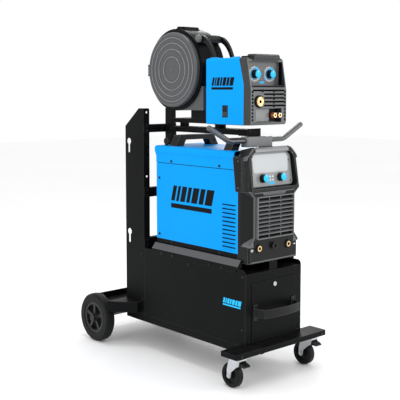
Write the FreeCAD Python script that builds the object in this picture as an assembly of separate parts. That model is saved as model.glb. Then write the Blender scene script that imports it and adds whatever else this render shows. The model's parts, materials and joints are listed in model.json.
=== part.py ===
import FreeCAD, Part
import math
import os

# Welding power source and swivelling wire feeder on a cabinet trolley.
# Millimetres. X runs across the machine, Y from front to back, Z up from the floor.
# The drawing frame has Y = 0 on the front of the cabinet; place() moves the origin
# to the middle of the footprint when each piece is written.

# ---- driving dimensions ------------------------------------------------------------
SHEET = 2.5                     # folded steel of the trolley
SKIN = 1.5                      # thin sheet covers
FREE = 0.5                      # gap round pieces that move
RUN = 0.05                      # radial running clearance of a shaft in its bore

CAB_HALF = 165.0                # cabinet half width
CAB_DEPTH = 649.0
CAB_BOTTOM = 155.0
CAB_TOP = 445.0
LIP_TOP = 464.0
PAN_BOTTOM = 123.0
PAN_REAR = 784.0

BEAM_HALF = 265.5               # front axle beam
BEAM_FRONT = -56.0
BEAM_REAR = 33.0
BEAM_BOTTOM = 133.0

WHEEL_R = 112.0                 # rear wheels
WHEEL_IN = 231.0
WHEEL_OUT = 279.0
WHEEL_Y = 894.0
RIM_R = 70.0
AXLE_R = 10.0
AXLE_HALF = 284.0
CAP_OUT = 287.0

CASTER_X = 213.0                # front casters
CASTER_Y = -11.0
CASTER_R = 50.0
CASTER_TRAIL = 31.0
CASTER_HALF = 16.0
PEDAL_TOE = -62.0
PEDAL_PIN_Y = -27.0
PEDAL_PIN_Z = 106.0
PEDAL_PIN_R = 2.5

DOOR_HALF = 128.0               # drawer front
DOOR_BOTTOM = 169.0
DOOR_TOP = 406.0
TRAY_HALF = 118.0
LOCK_X = 1.0
LOCK_Z = 388.0
LOCK_R = 9.0

POST_TOP = 1093.0               # rear uprights and top beam
TOP_BEAM_HALF = 39.0
TOP_BEAM_Z0 = 988.0
TOP_BEAM_Z1 = 1012.0
TOP_BEAM_FRONT = 121.0
BRACE_FACE = 646.0             # front of the braces behind the cabinet
PIVOT_Y = 322.0                 # feeder swivel axis
PIVOT_R = 12.0

HANDLE_Y = 102.0                # push handle
HANDLE_Z = 969.0
HANDLE_R = 11.0
HANDLE_TIP = 265.0
HANDLE_TIP_Z = 1026.0

PS_HALF = 143.0                 # power source
PS_BOTTOM = 484.0
PS_BLUE = 518.0
PS_FOLD = 857.0
PS_TOP = 930.0
PS_FRONT = 66.0
PS_REAR = 584.0
PANEL_TILT = 6.0                # lean of the control panel, degrees
PANEL_Y = 20.0
PANEL_Z = 788.0
KNOB_X = 51.0
KNOB_Z = 820.0
KNOB_R = 17.5
SOCKET_X = 85.0
SOCKET_Z = 542.0
FAN_Z = 700.0
FAN_Y = 556.0
SWITCH_X = 95.0
SWITCH_Z = 850.0

WF_HALF = 103.0                 # wire feeder
WF_BOTTOM = 1032.0
WF_TOP = 1305.0
WF_FRONT = 36.0
WF_REAR = 299.0
WF_KNOB_X = 43.0
WF_KNOB_Z = 1238.0
WF_PANEL = 76.0
WIRE_X = -58.0
WIRE_Z = 1128.0
DRIVE_Y = 190.0
ROLL_R = 15.0

DRUM_Y = 523.0                  # wire spool drum
DRUM_Z = 1262.0
DRUM_R = 178.0
DRUM_LEFT = -85.0
DRUM_RIGHT = 45.0
LID_R = 163.0
LID_FACE = -106.0
HINGE_X = -91.5                 # vertical hinge of the drum lid
HINGE_Y = 698.0
HINGE_R = 5.0
HINGE_PIN_R = 2.0
DOOR_PIN_X = -90.75             # hinge line of the feeder door
DOOR_PIN_Z = 1305.5
DOOR_PIN_R = 1.5
DOOR_EYE_R = 3.0
DOOR_HINGES = (120.0, 252.0)
LATCH_X = -100.5                # pin of the door latch
LATCH_Z = 1103.0
SPOOL_R = 150.0
SPOOL_BORE = 25.5

ORIGIN_Y = (PEDAL_TOE + WHEEL_Y + WHEEL_R) / 2

X_DIR = FreeCAD.Vector(1, 0, 0)
Y_DIR = FreeCAD.Vector(0, 1, 0)
Z_DIR = FreeCAD.Vector(0, 0, 1)


# ---- building blocks ---------------------------------------------------------------
def point(x, y, z):
    return FreeCAD.Vector(x, y, z)


def box(x0, x1, y0, y1, z0, z1):
    return Part.makeBox(x1 - x0, y1 - y0, z1 - z0, point(x0, y0, z0))


def rod(base, direction, radius, length):
    return Part.makeCylinder(radius, length, base, direction)


def ring(base, direction, outer, inner, length):
    return rod(base, direction, outer, length).cut(rod(base, direction, inner, length))


def fuse(*shapes):
    joined = shapes[0].multiFuse(list(shapes[1:]))
    return joined.removeSplitter()


def group(*shapes):
    return Part.makeCompound(list(shapes))


def face_of(points):
    wire = Part.makePolygon(points + [points[0]])
    return Part.Face(wire)


def prism_x(outline, x0, x1):
    """Outline of (y, z) points carried from x0 to x1."""
    return face_of([point(x0, y, z) for y, z in outline]).extrude(point(x1 - x0, 0, 0))


def prism_y(outline, y0, y1):
    """Outline of (x, z) points carried from y0 to y1."""
    return face_of([point(x, y0, z) for x, z in outline]).extrude(point(0, y1 - y0, 0))


def prism_z(outline, z0, z1):
    """Outline of (x, y) points carried from z0 to z1."""
    return face_of([point(x, y, z0) for x, y in outline]).extrude(point(0, 0, z1 - z0))


def flip(shape):
    """The same piece on the other side of the machine."""
    return shape.mirror(point(0, 0, 0), X_DIR)


def pair(shape):
    return group(shape, flip(shape))


def rounded(shape, direction, radius, wanted=None):
    """Fillet the straight edges along a direction, all of them or those wanted(centre) picks."""
    edges = []
    for edge in shape.Edges:
        if not isinstance(edge.Curve, Part.Line):
            continue
        along = edge.tangentAt(edge.FirstParameter)
        if abs(abs(along.dot(direction)) - 1) < 1e-6:
            if wanted is None or wanted(edge.CenterOfMass):
                edges.append(edge)
    return shape.makeFillet(radius, edges)


def bent_tube(points, radius, bend):
    """A round bar along straight runs joined by tangent arcs."""
    edges = []
    last = points[0]
    for before, corner, after in zip(points, points[1:], points[2:]):
        enter = (before - corner).normalize()
        leave = (after - corner).normalize()
        half = enter.getAngle(leave) / 2
        reach = bend / math.tan(half)
        start = corner + enter * reach
        end = corner + leave * reach
        inward = (enter + leave).normalize()
        middle = corner + inward * (bend / math.sin(half) - bend)
        edges.append(Part.LineSegment(last, start).toShape())
        edges.append(Part.Arc(start, middle, end).toShape())
        last = end
    edges.append(Part.LineSegment(last, points[-1]).toShape())
    path = Part.Wire(edges)
    start_dir = (points[1] - points[0]).normalize()
    profile = Part.Wire([Part.makeCircle(radius, points[0], start_dir)])
    return path.makePipeShell([profile], True, True)


def screw(base, direction, radius, height):
    """Button head with a hexagonal socket."""
    head = rod(base, direction, radius, height)
    rim = [edge for edge in head.Edges if abs((edge.CenterOfMass - base).dot(direction) - height) < 1e-6]
    head = head.makeFillet(height * 0.6, rim)
    socket = rod(base + direction * (height * 0.5), direction, radius * 0.42, height)
    return head.cut(socket)


# ---- trolley -----------------------------------------------------------------------
def base_pan():
    outer = box(-CAB_HALF, CAB_HALF, BEAM_REAR, PAN_REAR, PAN_BOTTOM, CAB_BOTTOM)
    inner = box(-CAB_HALF + SHEET, CAB_HALF - SHEET, BEAM_REAR, PAN_REAR - SHEET,
                PAN_BOTTOM, CAB_BOTTOM - SHEET)
    return outer.cut(inner)


def front_beam():
    wall = 3.0
    lip = 25.0
    drain_x = -119.0
    outer = box(-BEAM_HALF, BEAM_HALF, BEAM_FRONT, BEAM_REAR, BEAM_BOTTOM, CAB_BOTTOM)
    outer = rounded(outer, Z_DIR, 5.0, lambda c: c.y < 0)
    inner = box(-BEAM_HALF + wall, BEAM_HALF - wall, BEAM_FRONT + wall, BEAM_REAR - wall,
                BEAM_BOTTOM + wall, CAB_BOTTOM - wall)
    slot = box(-BEAM_HALF + wall, BEAM_HALF - wall, BEAM_FRONT + lip, BEAM_REAR - lip,
               BEAM_BOTTOM, BEAM_BOTTOM + wall)
    tab = box(drain_x - 8, drain_x + 8, BEAM_FRONT + wall, BEAM_FRONT + 2 * wall, BEAM_BOTTOM - 4, BEAM_BOTTOM)
    return fuse(outer.cut(inner).cut(slot), tab)


def cabinet_panels():
    thick = 2.0
    inside = CAB_HALF - thick
    outline = [(0, CAB_BOTTOM), (0, CAB_TOP), (4, LIP_TOP - 6), (16, LIP_TOP),
               (CAB_DEPTH, LIP_TOP), (CAB_DEPTH, CAB_BOTTOM)]
    side = prism_x(outline, -CAB_HALF, -inside)
    top = box(-inside, inside, thick, CAB_DEPTH - 2 * thick, CAB_TOP - thick, CAB_TOP)
    back = box(-inside, inside, BRACE_FACE - 2 * thick, BRACE_FACE - thick, CAB_BOTTOM, CAB_TOP - thick)
    tail = [(CAB_DEPTH, CAB_BOTTOM), (PAN_REAR, CAB_BOTTOM), (PAN_REAR, 400), (740, CAB_TOP), (CAB_DEPTH, CAB_TOP)]
    cheek = prism_x(tail, CAB_HALF - SHEET, CAB_HALF)
    fold = box(CAB_HALF - 34, CAB_HALF, CAB_DEPTH, CAB_DEPTH + SHEET, CAB_BOTTOM, CAB_TOP)
    return group(side, flip(side), top, back, fuse(cheek, fold))


def front_frame():
    thick = 2.0
    reveal = 1.0
    fold = 12.0
    inside = CAB_HALF - thick
    x1 = DOOR_HALF + reveal
    z0 = DOOR_BOTTOM - reveal
    z1 = DOOR_TOP + reveal
    plate = box(-inside, inside, 0, thick, CAB_BOTTOM, CAB_TOP)
    collar = box(-x1 - thick, x1 + thick, thick, thick + fold, z0 - thick, z1 + thick)
    opening = box(-x1, x1, 0, thick + fold, z0, z1)
    return fuse(plate, collar).cut(opening)


def seat_rails():
    """Folded rails that carry the power source between them, and its front stop."""
    front, rear = 50.0, 589.0
    out = CAB_HALF + SHEET
    crest = 497.0
    knee = 472.0
    leg = PS_HALF + 1.0
    outline = [(-out, CAB_TOP + 1), (-out, knee), (-leg - 4.5, crest), (-leg, crest), (-leg, PS_BOTTOM),
               (-110, PS_BOTTOM), (-110, PS_BOTTOM - SHEET), (-leg - SHEET, PS_BOTTOM - SHEET),
               (-leg - SHEET, crest - SHEET), (-leg - 3.5, crest - SHEET), (-CAB_HALF, knee - 1), (-CAB_HALF, CAB_TOP + 1)]
    rail = prism_y(outline, front, rear)
    nose = [(-out, LIP_TOP + 1), (-out, knee), (-leg - 4.5, crest), (-leg, crest), (-leg, LIP_TOP + 1)]
    rail = fuse(rail, prism_y(nose, front - 8, front))
    half = 22.0
    stop = fuse(box(-half, half, 4, 4 + SHEET, CAB_TOP, PS_BOTTOM - 1),
                box(-half, half, 4, 34, CAB_TOP, CAB_TOP + SHEET))
    return group(rail, flip(rail), stop)


def keyhole(y, z, drop):
    round_r, slot_r = 14.5, 6.5
    depth = 2 * SHEET
    start = -CAB_HALF - 1
    hole = rod(point(start, y, z), X_DIR, round_r, depth + 2)
    slot = prism_x([(y - slot_r, z), (y + slot_r, z), (y + slot_r, z - drop), (y - slot_r, z - drop)],
                   start, start + depth + 2)
    return hole.fuse(slot).fuse(rod(point(start, y, z - drop), X_DIR, slot_r, depth + 2))


def left_upright():
    front, rear = CAB_DEPTH, PAN_REAR
    chamfer_y, chamfer_z = 683.0, 1011.0
    flange = 34.0
    hole_r = 5.0
    outline = [(front, CAB_BOTTOM), (rear, CAB_BOTTOM), (rear, chamfer_z), (chamfer_y, POST_TOP), (front, POST_TOP)]
    plate = prism_x(outline, -CAB_HALF, -CAB_HALF + SHEET)
    fold = box(-CAB_HALF, -CAB_HALF + flange, front, front + SHEET, CAB_BOTTOM, POST_TOP)
    fold = rounded(fold, Y_DIR, 8.0, lambda c: c.x > -CAB_HALF + 1 and c.z > POST_TOP - 1)
    part = fuse(plate, fold)
    for z in (942.0, 526.0):
        part = part.cut(keyhole(757.0, z, 45.0))
    for z in (1075.0, 787.0):
        part = part.cut(rod(point(-147, front - 1, z), Y_DIR, hole_r, 6))
    return part


def centre_frame():
    """Centre post and the three braces that tie it to the upright."""
    left, right = -6.0, 24.0
    depth = 40.0
    post = box(left, right, CAB_DEPTH, CAB_DEPTH + depth, CAB_BOTTOM, POST_TOP)
    hollow = box(left + SHEET, right - SHEET, CAB_DEPTH + SHEET, CAB_DEPTH + depth, CAB_BOTTOM, POST_TOP)
    post = post.cut(hollow).cut(rod(point(9, CAB_DEPTH - 1, 1076), Y_DIR, 5.0, 6))
    braces = []
    for z0, z1 in ((467.0, 509.0), (694.0, 736.0), (985.0, 1021.0)):
        web = box(-CAB_HALF + 1, right, BRACE_FACE, CAB_DEPTH, z0, z1)
        lips = [box(-CAB_HALF + 36, left - 1, CAB_DEPTH, CAB_DEPTH + 22, z, z + SHEET) for z in (z0, z1 - SHEET)]
        braces.append(fuse(web, *lips))
    return group(post, *braces)


def top_beam():
    """Rectangular beam with its end plate, post bracket, handle plate and the swivel pin."""
    half = TOP_BEAM_HALF
    tube = box(-half, half, TOP_BEAM_FRONT, BRACE_FACE, TOP_BEAM_Z0, TOP_BEAM_Z1)
    bore = box(-half + SHEET, half - SHEET, TOP_BEAM_FRONT, BRACE_FACE, TOP_BEAM_Z0 + SHEET, TOP_BEAM_Z1 - SHEET)
    boss = rod(point(0, PIVOT_Y, TOP_BEAM_Z1), Z_DIR, 24.0, 8.0)
    pin = rod(point(0, PIVOT_Y, TOP_BEAM_Z1), Z_DIR, PIVOT_R, 17.5)
    beam = fuse(tube.cut(bore), boss, pin)
    end_plate = box(-half, half, TOP_BEAM_FRONT - SHEET, TOP_BEAM_FRONT, TOP_BEAM_Z0 - 2, TOP_BEAM_Z1 + 4)
    hanger = box(-half + 4, half - 4, HANDLE_Y - 12, 175, TOP_BEAM_Z0 - 3, TOP_BEAM_Z0 - 2)
    hanger = fuse(hanger, box(-half + 4, half - 4, TOP_BEAM_FRONT, 175, TOP_BEAM_Z0 - 3, TOP_BEAM_Z0))
    bracket = fuse(box(-half - 3, -half, 570, BRACE_FACE, 972, TOP_BEAM_Z1),
                   box(-half - 24, -half - 3, BRACE_FACE - 3, BRACE_FACE, 985, TOP_BEAM_Z1))
    return group(beam, end_plate, hanger, bracket)


def handle_box():
    half = 72.0
    y0, y1 = HANDLE_Y - 20, HANDLE_Y + 20
    z0, z1 = 943.0, TOP_BEAM_Z0 - 3
    shell = rounded(box(-half, half, y0, y1, z0, z1), Z_DIR, 3.0, lambda c: c.y < HANDLE_Y)
    shell = shell.cut(box(-half + SHEET, half - SHEET, y0 + SHEET, y1, z0 + SHEET, z1 - SHEET))
    return shell.cut(rod(point(-half - 1, HANDLE_Y, HANDLE_Z), X_DIR, HANDLE_R, 2 * half + 2))


def push_handle():
    """Cranked bar through the handle box, with domed ends."""
    elbow = 158.0
    bar = bent_tube([point(-HANDLE_TIP, HANDLE_Y, HANDLE_TIP_Z), point(-elbow, HANDLE_Y, HANDLE_Z),
                     point(elbow, HANDLE_Y, HANDLE_Z), point(HANDLE_TIP, HANDLE_Y, HANDLE_TIP_Z)], HANDLE_R, 60.0)
    domes = [Part.makeSphere(HANDLE_R, point(side * HANDLE_TIP, HANDLE_Y, HANDLE_TIP_Z)) for side in (-1, 1)]
    return fuse(bar, *domes)


def axle_wings():
    """Folded wings that carry the platform out to the rear wheels."""
    z0, z1 = 163.0, 211.0
    rear = PAN_REAR + 3
    outer = [(-165, 672), (-190, 672), (-249, 745), (-275, rear), (-165, rear)]
    inner = [(-165, 675), (-188.5, 675), (-246.6, 747), (-271.5, rear), (-165, rear)]
    wing = prism_z(outer, z0, z1).cut(prism_z(inner, z0, z1 - SHEET))
    wing = wing.cut(box(-CAB_HALF, -CAB_HALF + 1, 600, 900, z0, z1))
    return pair(wing)


def bottle_platform():
    """Shelf for a gas bottle, with cheeks that hold the axle."""
    half = 218.0
    rear = 1000.0
    z0, z1 = 160.0, 163.0
    wall = 3.0
    parts = [box(-half, half, PAN_REAR, rear, z0, z1),
             box(-half, half, rear - wall, rear, z1, z1 + 30),
             box(-CAB_HALF + 3, CAB_HALF - 3, PAN_REAR, PAN_REAR + wall, PAN_BOTTOM + 3, z0)]
    for side in (-1, 1):
        x0, x1 = sorted((side * (half - wall), side * half))
        parts.append(box(x0, x1, PAN_REAR + 3, rear, z1, z1 + 24))
        cheek = [(WHEEL_Y - 40, z1 + 24), (WHEEL_Y - 20, 88), (WHEEL_Y + 20, 88), (WHEEL_Y + 40, z1 + 24)]
        x0, x1 = sorted((side * half, side * (half + wall)))
        parts.append(prism_x(cheek, x0, x1))
    shelf = fuse(*parts)
    return shelf.cut(rod(point(-300, WHEEL_Y, WHEEL_R), X_DIR, AXLE_R, 600))


def rear_axle():
    return rod(point(-AXLE_HALF, WHEEL_Y, WHEEL_R), X_DIR, AXLE_R, 2 * AXLE_HALF)


def trolley_bolts():
    """Every visible fastener of the trolley and the two axle caps."""
    heads = []
    radius, height = 5.5, 3.0
    for side in (-1, 1):
        out = point(side, 0, 0)
        for y, z in ((663, 221), (663, 436), (338, 436), (14, 436), (14, 221)):
            heads.append(screw(point(side * CAB_HALF, y, z), out, radius, height))
        for y in (132, 209, 446, 520):
            heads.append(screw(point(side * (CAB_HALF + SHEET), y, 457), out, radius, height))
        heads.append(screw(point(side * 143, 0, 170), -Y_DIR, radius, height))
        heads.append(screw(point(side * 237, BEAM_FRONT, 144), -Y_DIR, radius + 1, height))
        cap = ring(point(side * (WHEEL_OUT + 0.6), WHEEL_Y, WHEEL_R), out, 17.0, AXLE_R, AXLE_HALF - WHEEL_OUT - 0.6)
        lid = rod(point(side * AXLE_HALF, WHEEL_Y, WHEEL_R), out, 17.0, CAP_OUT - AXLE_HALF)
        heads.append(fuse(cap, lid))
        heads.append(screw(point(side * 221, 840, 178), out, radius + 1, 4.0))
    for z in (477, 499, 704, 726, 994, 1012):
        heads.append(screw(point(-147, BRACE_FACE, z), -Y_DIR, 4.5, height))
    for z in (477, 499, 704, 726):
        heads.append(screw(point(9, BRACE_FACE, z), -Y_DIR, 4.5, height))
    for y, z in ((580, 979), (600, 979), (580, 1003), (600, 1003)):
        heads.append(screw(point(-TOP_BEAM_HALF - 3, y, z), -X_DIR, 4.5, height))
    for x in (-28, 28):
        heads.append(screw(point(x, TOP_BEAM_FRONT - SHEET, 1008), -Y_DIR, 4.5, height))
    return group(*heads)


def caster_plates():
    """Top plates of the casters with their races and king pins."""
    plate = box(CASTER_X - 42, CASTER_X + 42, CASTER_Y - 36, CASTER_Y + 36, 130, BEAM_BOTTOM)
    plate = rounded(plate, Z_DIR, 6.0)
    race = rod(point(CASTER_X, CASTER_Y, 124), Z_DIR, 24.0, 6.0)
    pin = rod(point(CASTER_X, CASTER_Y, 113), Z_DIR, 6.0, 12.0)
    head = rod(point(CASTER_X, CASTER_Y, 111), Z_DIR, 10.0, 4.0)
    return pair(fuse(plate, race, pin, head))


def drawer_slides():
    """Fixed outer rails of the drawer on their side brackets."""
    inner = TRAY_HALF + 2.5 + FREE
    web = box(-CAB_HALF + 2, -inner, 30, 620, 250, 252)
    rail = box(-inner - SHEET, -inner, 30, 620, 234, 268)
    return pair(fuse(web, rail))


# ---- drawer ------------------------------------------------------------------------
def drawer_tray():
    wall = 1.5
    z0, z1 = 173.0, 360.0
    outer = box(-TRAY_HALF, TRAY_HALF, -1, 600, z0, z1)
    inner = box(-TRAY_HALF + wall, TRAY_HALF - wall, -1 + wall, 600 - wall, z0 + wall, z1)
    tray = outer.cut(inner)
    runner = box(-TRAY_HALF - 2.5, -TRAY_HALF, 24, 590, 238, 264)
    return fuse(tray, runner, flip(runner))


def drawer_front():
    wall = 2.0
    outer = box(-DOOR_HALF, DOOR_HALF, -3, 16, DOOR_BOTTOM, DOOR_TOP)
    inner = box(-DOOR_HALF + wall, DOOR_HALF - wall, -1, 16, DOOR_BOTTOM + wall, DOOR_TOP - wall)
    return outer.cut(inner).cut(rod(point(LOCK_X, -5, LOCK_Z), Y_DIR, LOCK_R + RUN, 10))


def drawer_handle():
    """Moulded bow pull on two feet."""
    thick = 6.0
    z0, z1 = 268.0, 303.0
    foot, corner, front, face = 117.0, 102.0, -50.0, -3.0

    def sweep(inset, bow):
        a = point(-foot + inset, face, z0)
        b = point(-corner + inset, front + inset, z0)
        c = point(corner - inset, front + inset, z0)
        d = point(foot - inset, face, z0)
        arc = Part.Arc(b, point(0, bow, z0), c).toShape()
        wire = Part.Wire([Part.LineSegment(a, b).toShape(), arc,
                          Part.LineSegment(c, d).toShape(), Part.LineSegment(d, a).toShape()])
        return Part.Face(wire).extrude(point(0, 0, z1 - z0))

    bow = sweep(0, -61.0).cut(sweep(thick, -61.0 + thick))
    feet = []
    for side in (-1, 1):
        x0, x1 = sorted((side * 100, side * 122))
        pad = box(x0, x1, -8, face, 254, 319)
        feet.append(rounded(pad, Y_DIR, 5.0))
    return fuse(bow, *feet)


def lock_barrel():
    face = -6.0
    barrel = rod(point(LOCK_X, face, LOCK_Z), Y_DIR, LOCK_R, 22.5)
    barrel = barrel.cut(box(LOCK_X - 1, LOCK_X + 1, face - 1, face + 4, LOCK_Z - 5, LOCK_Z + 5))
    cam = box(LOCK_X - 7, LOCK_X + 23, 16.5, 19.5, LOCK_Z - 7, LOCK_Z + 7)
    return fuse(barrel, rounded(cam, Y_DIR, 5.0))


# ---- wheels ------------------------------------------------------------------------
def turned(outline):
    """Solid of revolution about the X axis from (x, radius) points."""
    face = face_of([point(x, 0, r) for x, r in outline])
    return face.revolve(point(0, 0, 0), X_DIR, 360)


def tyre():
    w = (WHEEL_OUT - WHEEL_IN) / 2
    shoulder = WHEEL_R - 9
    outline = [(-w + 4, RIM_R), (-w, RIM_R + 8), (-w, shoulder), (-w + 7, WHEEL_R - 1.5), (-w + 16, WHEEL_R),
               (w - 16, WHEEL_R), (w - 7, WHEEL_R - 1.5), (w, shoulder), (w, RIM_R + 8), (w - 4, RIM_R)]
    return turned(outline)


def rim():
    """Moulded five-spoke wheel body."""
    w = (WHEEL_OUT - WHEEL_IN) / 2
    barrel = turned([(-w + 4, RIM_R), (-w + 4, RIM_R - 9), (w - 4, RIM_R - 9), (w - 4, RIM_R)])
    web = turned([(-4, AXLE_R + RUN), (-4, RIM_R - 8), (4, RIM_R - 8), (4, AXLE_R + RUN)])
    hub = turned([(-w + 1, AXLE_R + RUN), (-w + 1, 20), (-6, 24), (6, 24), (w, 19), (w, AXLE_R + RUN)])
    spokes, windows = [], []
    count = 5
    for i in range(count):
        turn = 360.0 / count * i
        rib = box(-w + 8, w - 6, -7, 7, 18, RIM_R - 8)
        rib.rotate(point(0, 0, 0), X_DIR, turn)
        spokes.append(rib)
        window = prism_x([(-4.5, 31), (4.5, 31), (18, 52), (13, 58), (-13, 58), (-18, 52)], -6, 6)
        window.rotate(point(0, 0, 0), X_DIR, turn + 180.0 / count)
        windows.append(window)
    disc = web.cut(group(*windows))
    return fuse(barrel, disc, hub, *spokes)


def wheel_at(piece, side):
    """Moves a wheel piece, drawn for the right side, to its end of the axle."""
    centre = (WHEEL_OUT + WHEEL_IN) / 2
    piece = piece.copy()
    piece.translate(point(centre, WHEEL_Y, WHEEL_R))
    return piece if side > 0 else flip(piece)


def caster_fork():
    """Pressed fork, drawn about the swivel axis at x = 0, with its axle bolt."""
    leg_in, leg_out = CASTER_HALF + 3, CASTER_HALF + 5.5
    y, z = CASTER_Y, CASTER_R
    axle_y = y + CASTER_TRAIL
    crown = fuse(box(-leg_out, leg_out, y - 26, y + 26, 117, 123.5), rod(point(0, y, 117), Z_DIR, 26, 6.5))
    crown = crown.cut(rod(point(0, y, 110), Z_DIR, 6 + RUN, 20))
    outline = [(y - 27, 123.5), (y - 25, 100), (y - 8, 90), (axle_y - 13, 66), (axle_y - 10, z - 6),
               (axle_y, z - 12), (axle_y + 10, z - 6), (axle_y + 12, 70), (axle_y + 4, 104), (y + 27, 123.5)]
    leg = prism_x(outline, leg_in, leg_out)
    bolt_r = 5.0
    bore = rod(point(-40, axle_y, z), X_DIR, bolt_r, 80)
    pin = rod(point(-leg_in - 1, PEDAL_PIN_Y, PEDAL_PIN_Z), X_DIR, PEDAL_PIN_R, 2 * leg_in + 2)
    fork = fuse(crown, leg, flip(leg), pin).cut(bore)
    bolt = rod(point(-leg_out - 2, axle_y, z), X_DIR, bolt_r, 2 * leg_out + 4)
    heads = [rod(point(side * leg_out, axle_y, z), point(side, 0, 0), 8.0, 4.5) for side in (-1, 1)]
    return group(fork, fuse(bolt, *heads))


def caster_wheel():
    """Rubber tread on a moulded centre, drawn at x = 0."""
    h = CASTER_HALF
    tread = turned([(-h + 2, 38), (-h, 41), (-h, 45), (-h + 6, CASTER_R), (h - 6, CASTER_R), (h, 45), (h, 41), (h - 2, 38)])
    centre = turned([(-h - 2, 5 + RUN), (-h - 2, 13), (-6, 17), (-6, 31), (-h + 3, 33), (-h + 3, 38),
                     (h - 3, 38), (h - 3, 33), (6, 31), (6, 17), (h + 2, 13), (h + 2, 5 + RUN)])
    wheel = group(tread, centre)
    wheel.translate(point(0, CASTER_Y + CASTER_TRAIL, CASTER_R))
    return wheel


def brake_pedal():
    """Foot lever between the fork legs, hinged on a cross pin at its back."""
    half = CASTER_HALF + 2
    pin_y = PEDAL_PIN_Y
    outline = [(PEDAL_TOE, 97), (PEDAL_TOE, 101), (PEDAL_TOE + 10, 107), (pin_y - 2, 113), (pin_y + 6, 108),
               (pin_y + 4, 101), (pin_y - 8, 98)]
    lever = prism_x(outline, -half, half)
    return lever.cut(rod(point(-half - 1, pin_y, PEDAL_PIN_Z), X_DIR, PEDAL_PIN_R + RUN, 2 * half + 2))


def caster_at(piece, side):
    piece = piece.copy()
    piece.translate(point(side * CASTER_X, 0, 0))
    return piece


# ---- power source ------------------------------------------------------------------
def ps_base():
    thick = 2.0
    half = PS_HALF - 2
    outer = box(-half, half, PS_FRONT, PS_REAR, PS_BOTTOM, PS_BLUE)
    return outer.cut(box(-half + thick, half - thick, PS_FRONT, PS_REAR - thick, PS_BOTTOM + thick, PS_BLUE))


def ps_covers():
    """Left and right side sheets with louvres, and the top cover folded down over them."""
    side = box(-PS_HALF, -PS_HALF + SKIN, PS_FRONT, PS_REAR, PS_BLUE, PS_TOP - 22)
    pitch = 17.2
    for i in range(11):
        z = 537 + i * pitch
        side = side.cut(box(-PS_HALF - 1, -PS_HALF + 3, 79, 157, z, z + 5))
    lap = 0.8
    front = 88.0
    outer = rounded(box(-PS_HALF - lap, PS_HALF + lap, front, PS_REAR + 12, PS_FOLD, PS_TOP), Y_DIR, 14.0,
                    lambda c: c.z > PS_TOP - 1)
    inner = rounded(box(-PS_HALF, PS_HALF, front - 1, PS_REAR + 13, PS_FOLD - 1, PS_TOP - lap), Y_DIR, 13.2,
                    lambda c: c.z > PS_TOP - 2)
    tail = prism_x([(PS_REAR + 1, PS_FOLD - 1), (PS_REAR + 1, PS_TOP - 46), (PS_REAR + 12, PS_TOP - 22),
                    (PS_REAR + 13, PS_TOP - 22), (PS_REAR + 13, PS_FOLD - 1)], -PS_HALF - 2, PS_HALF + 2)
    top = outer.cut(inner).cut(tail)
    return group(side, flip(side), top)


def ps_rear_panel():
    """Rear sheet with the fan grille, the switch opening and the mains inlet gland."""
    half = PS_HALF - SKIN
    panel = box(-half, half, PS_REAR - 2, PS_REAR, PS_BLUE, PS_TOP - 22)
    vent_r = 58.0
    panel = panel.cut(rod(point(0, PS_REAR - 5, FAN_Z), Y_DIR, vent_r, 10))
    guard = []
    for r in (18, 32, 46):
        guard.append(ring(point(0, PS_REAR - 2, FAN_Z), Y_DIR, r + 1.5, r - 1.5, 2))
    bar = box(-vent_r, vent_r, PS_REAR - 2, PS_REAR, FAN_Z - 2, FAN_Z + 2)
    for turn in (45, 135):
        spoke = bar.copy()
        spoke.rotate(point(0, PS_REAR, FAN_Z), Y_DIR, turn)
        guard.append(spoke)
    switch_body = box(SWITCH_X - 15, SWITCH_X + 15, PS_REAR - 13, PS_REAR - 2, SWITCH_Z - 13, SWITCH_Z + 13)
    opening = box(SWITCH_X - 12.5, SWITCH_X + 12.5, PS_REAR - 14, PS_REAR + 5, SWITCH_Z - 10.5, SWITCH_Z + 10.5)
    pivot = rod(point(SWITCH_X - 16, PS_REAR - 4.5, SWITCH_Z), X_DIR, 2.0 + RUN, 32)
    panel = fuse(panel, switch_body).cut(opening).cut(pivot)
    gland_x, gland_z = -85.0, 575.0
    gland = fuse(rod(point(gland_x, PS_REAR - 10, gland_z), Y_DIR, 13, 10),
                 rod(point(gland_x, PS_REAR, gland_z), Y_DIR, 18, 8),
                 rod(point(gland_x, PS_REAR + 8, gland_z), Y_DIR, 14, 12))
    bore = rod(point(gland_x, PS_REAR - 12, gland_z), Y_DIR, 8, 40)
    return fuse(panel, gland, *guard).cut(bore)


def panel_depth(z):
    """Y of the leaning control panel face at a height."""
    return PANEL_Y + (z - PANEL_Z) * math.tan(math.radians(PANEL_TILT))


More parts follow.
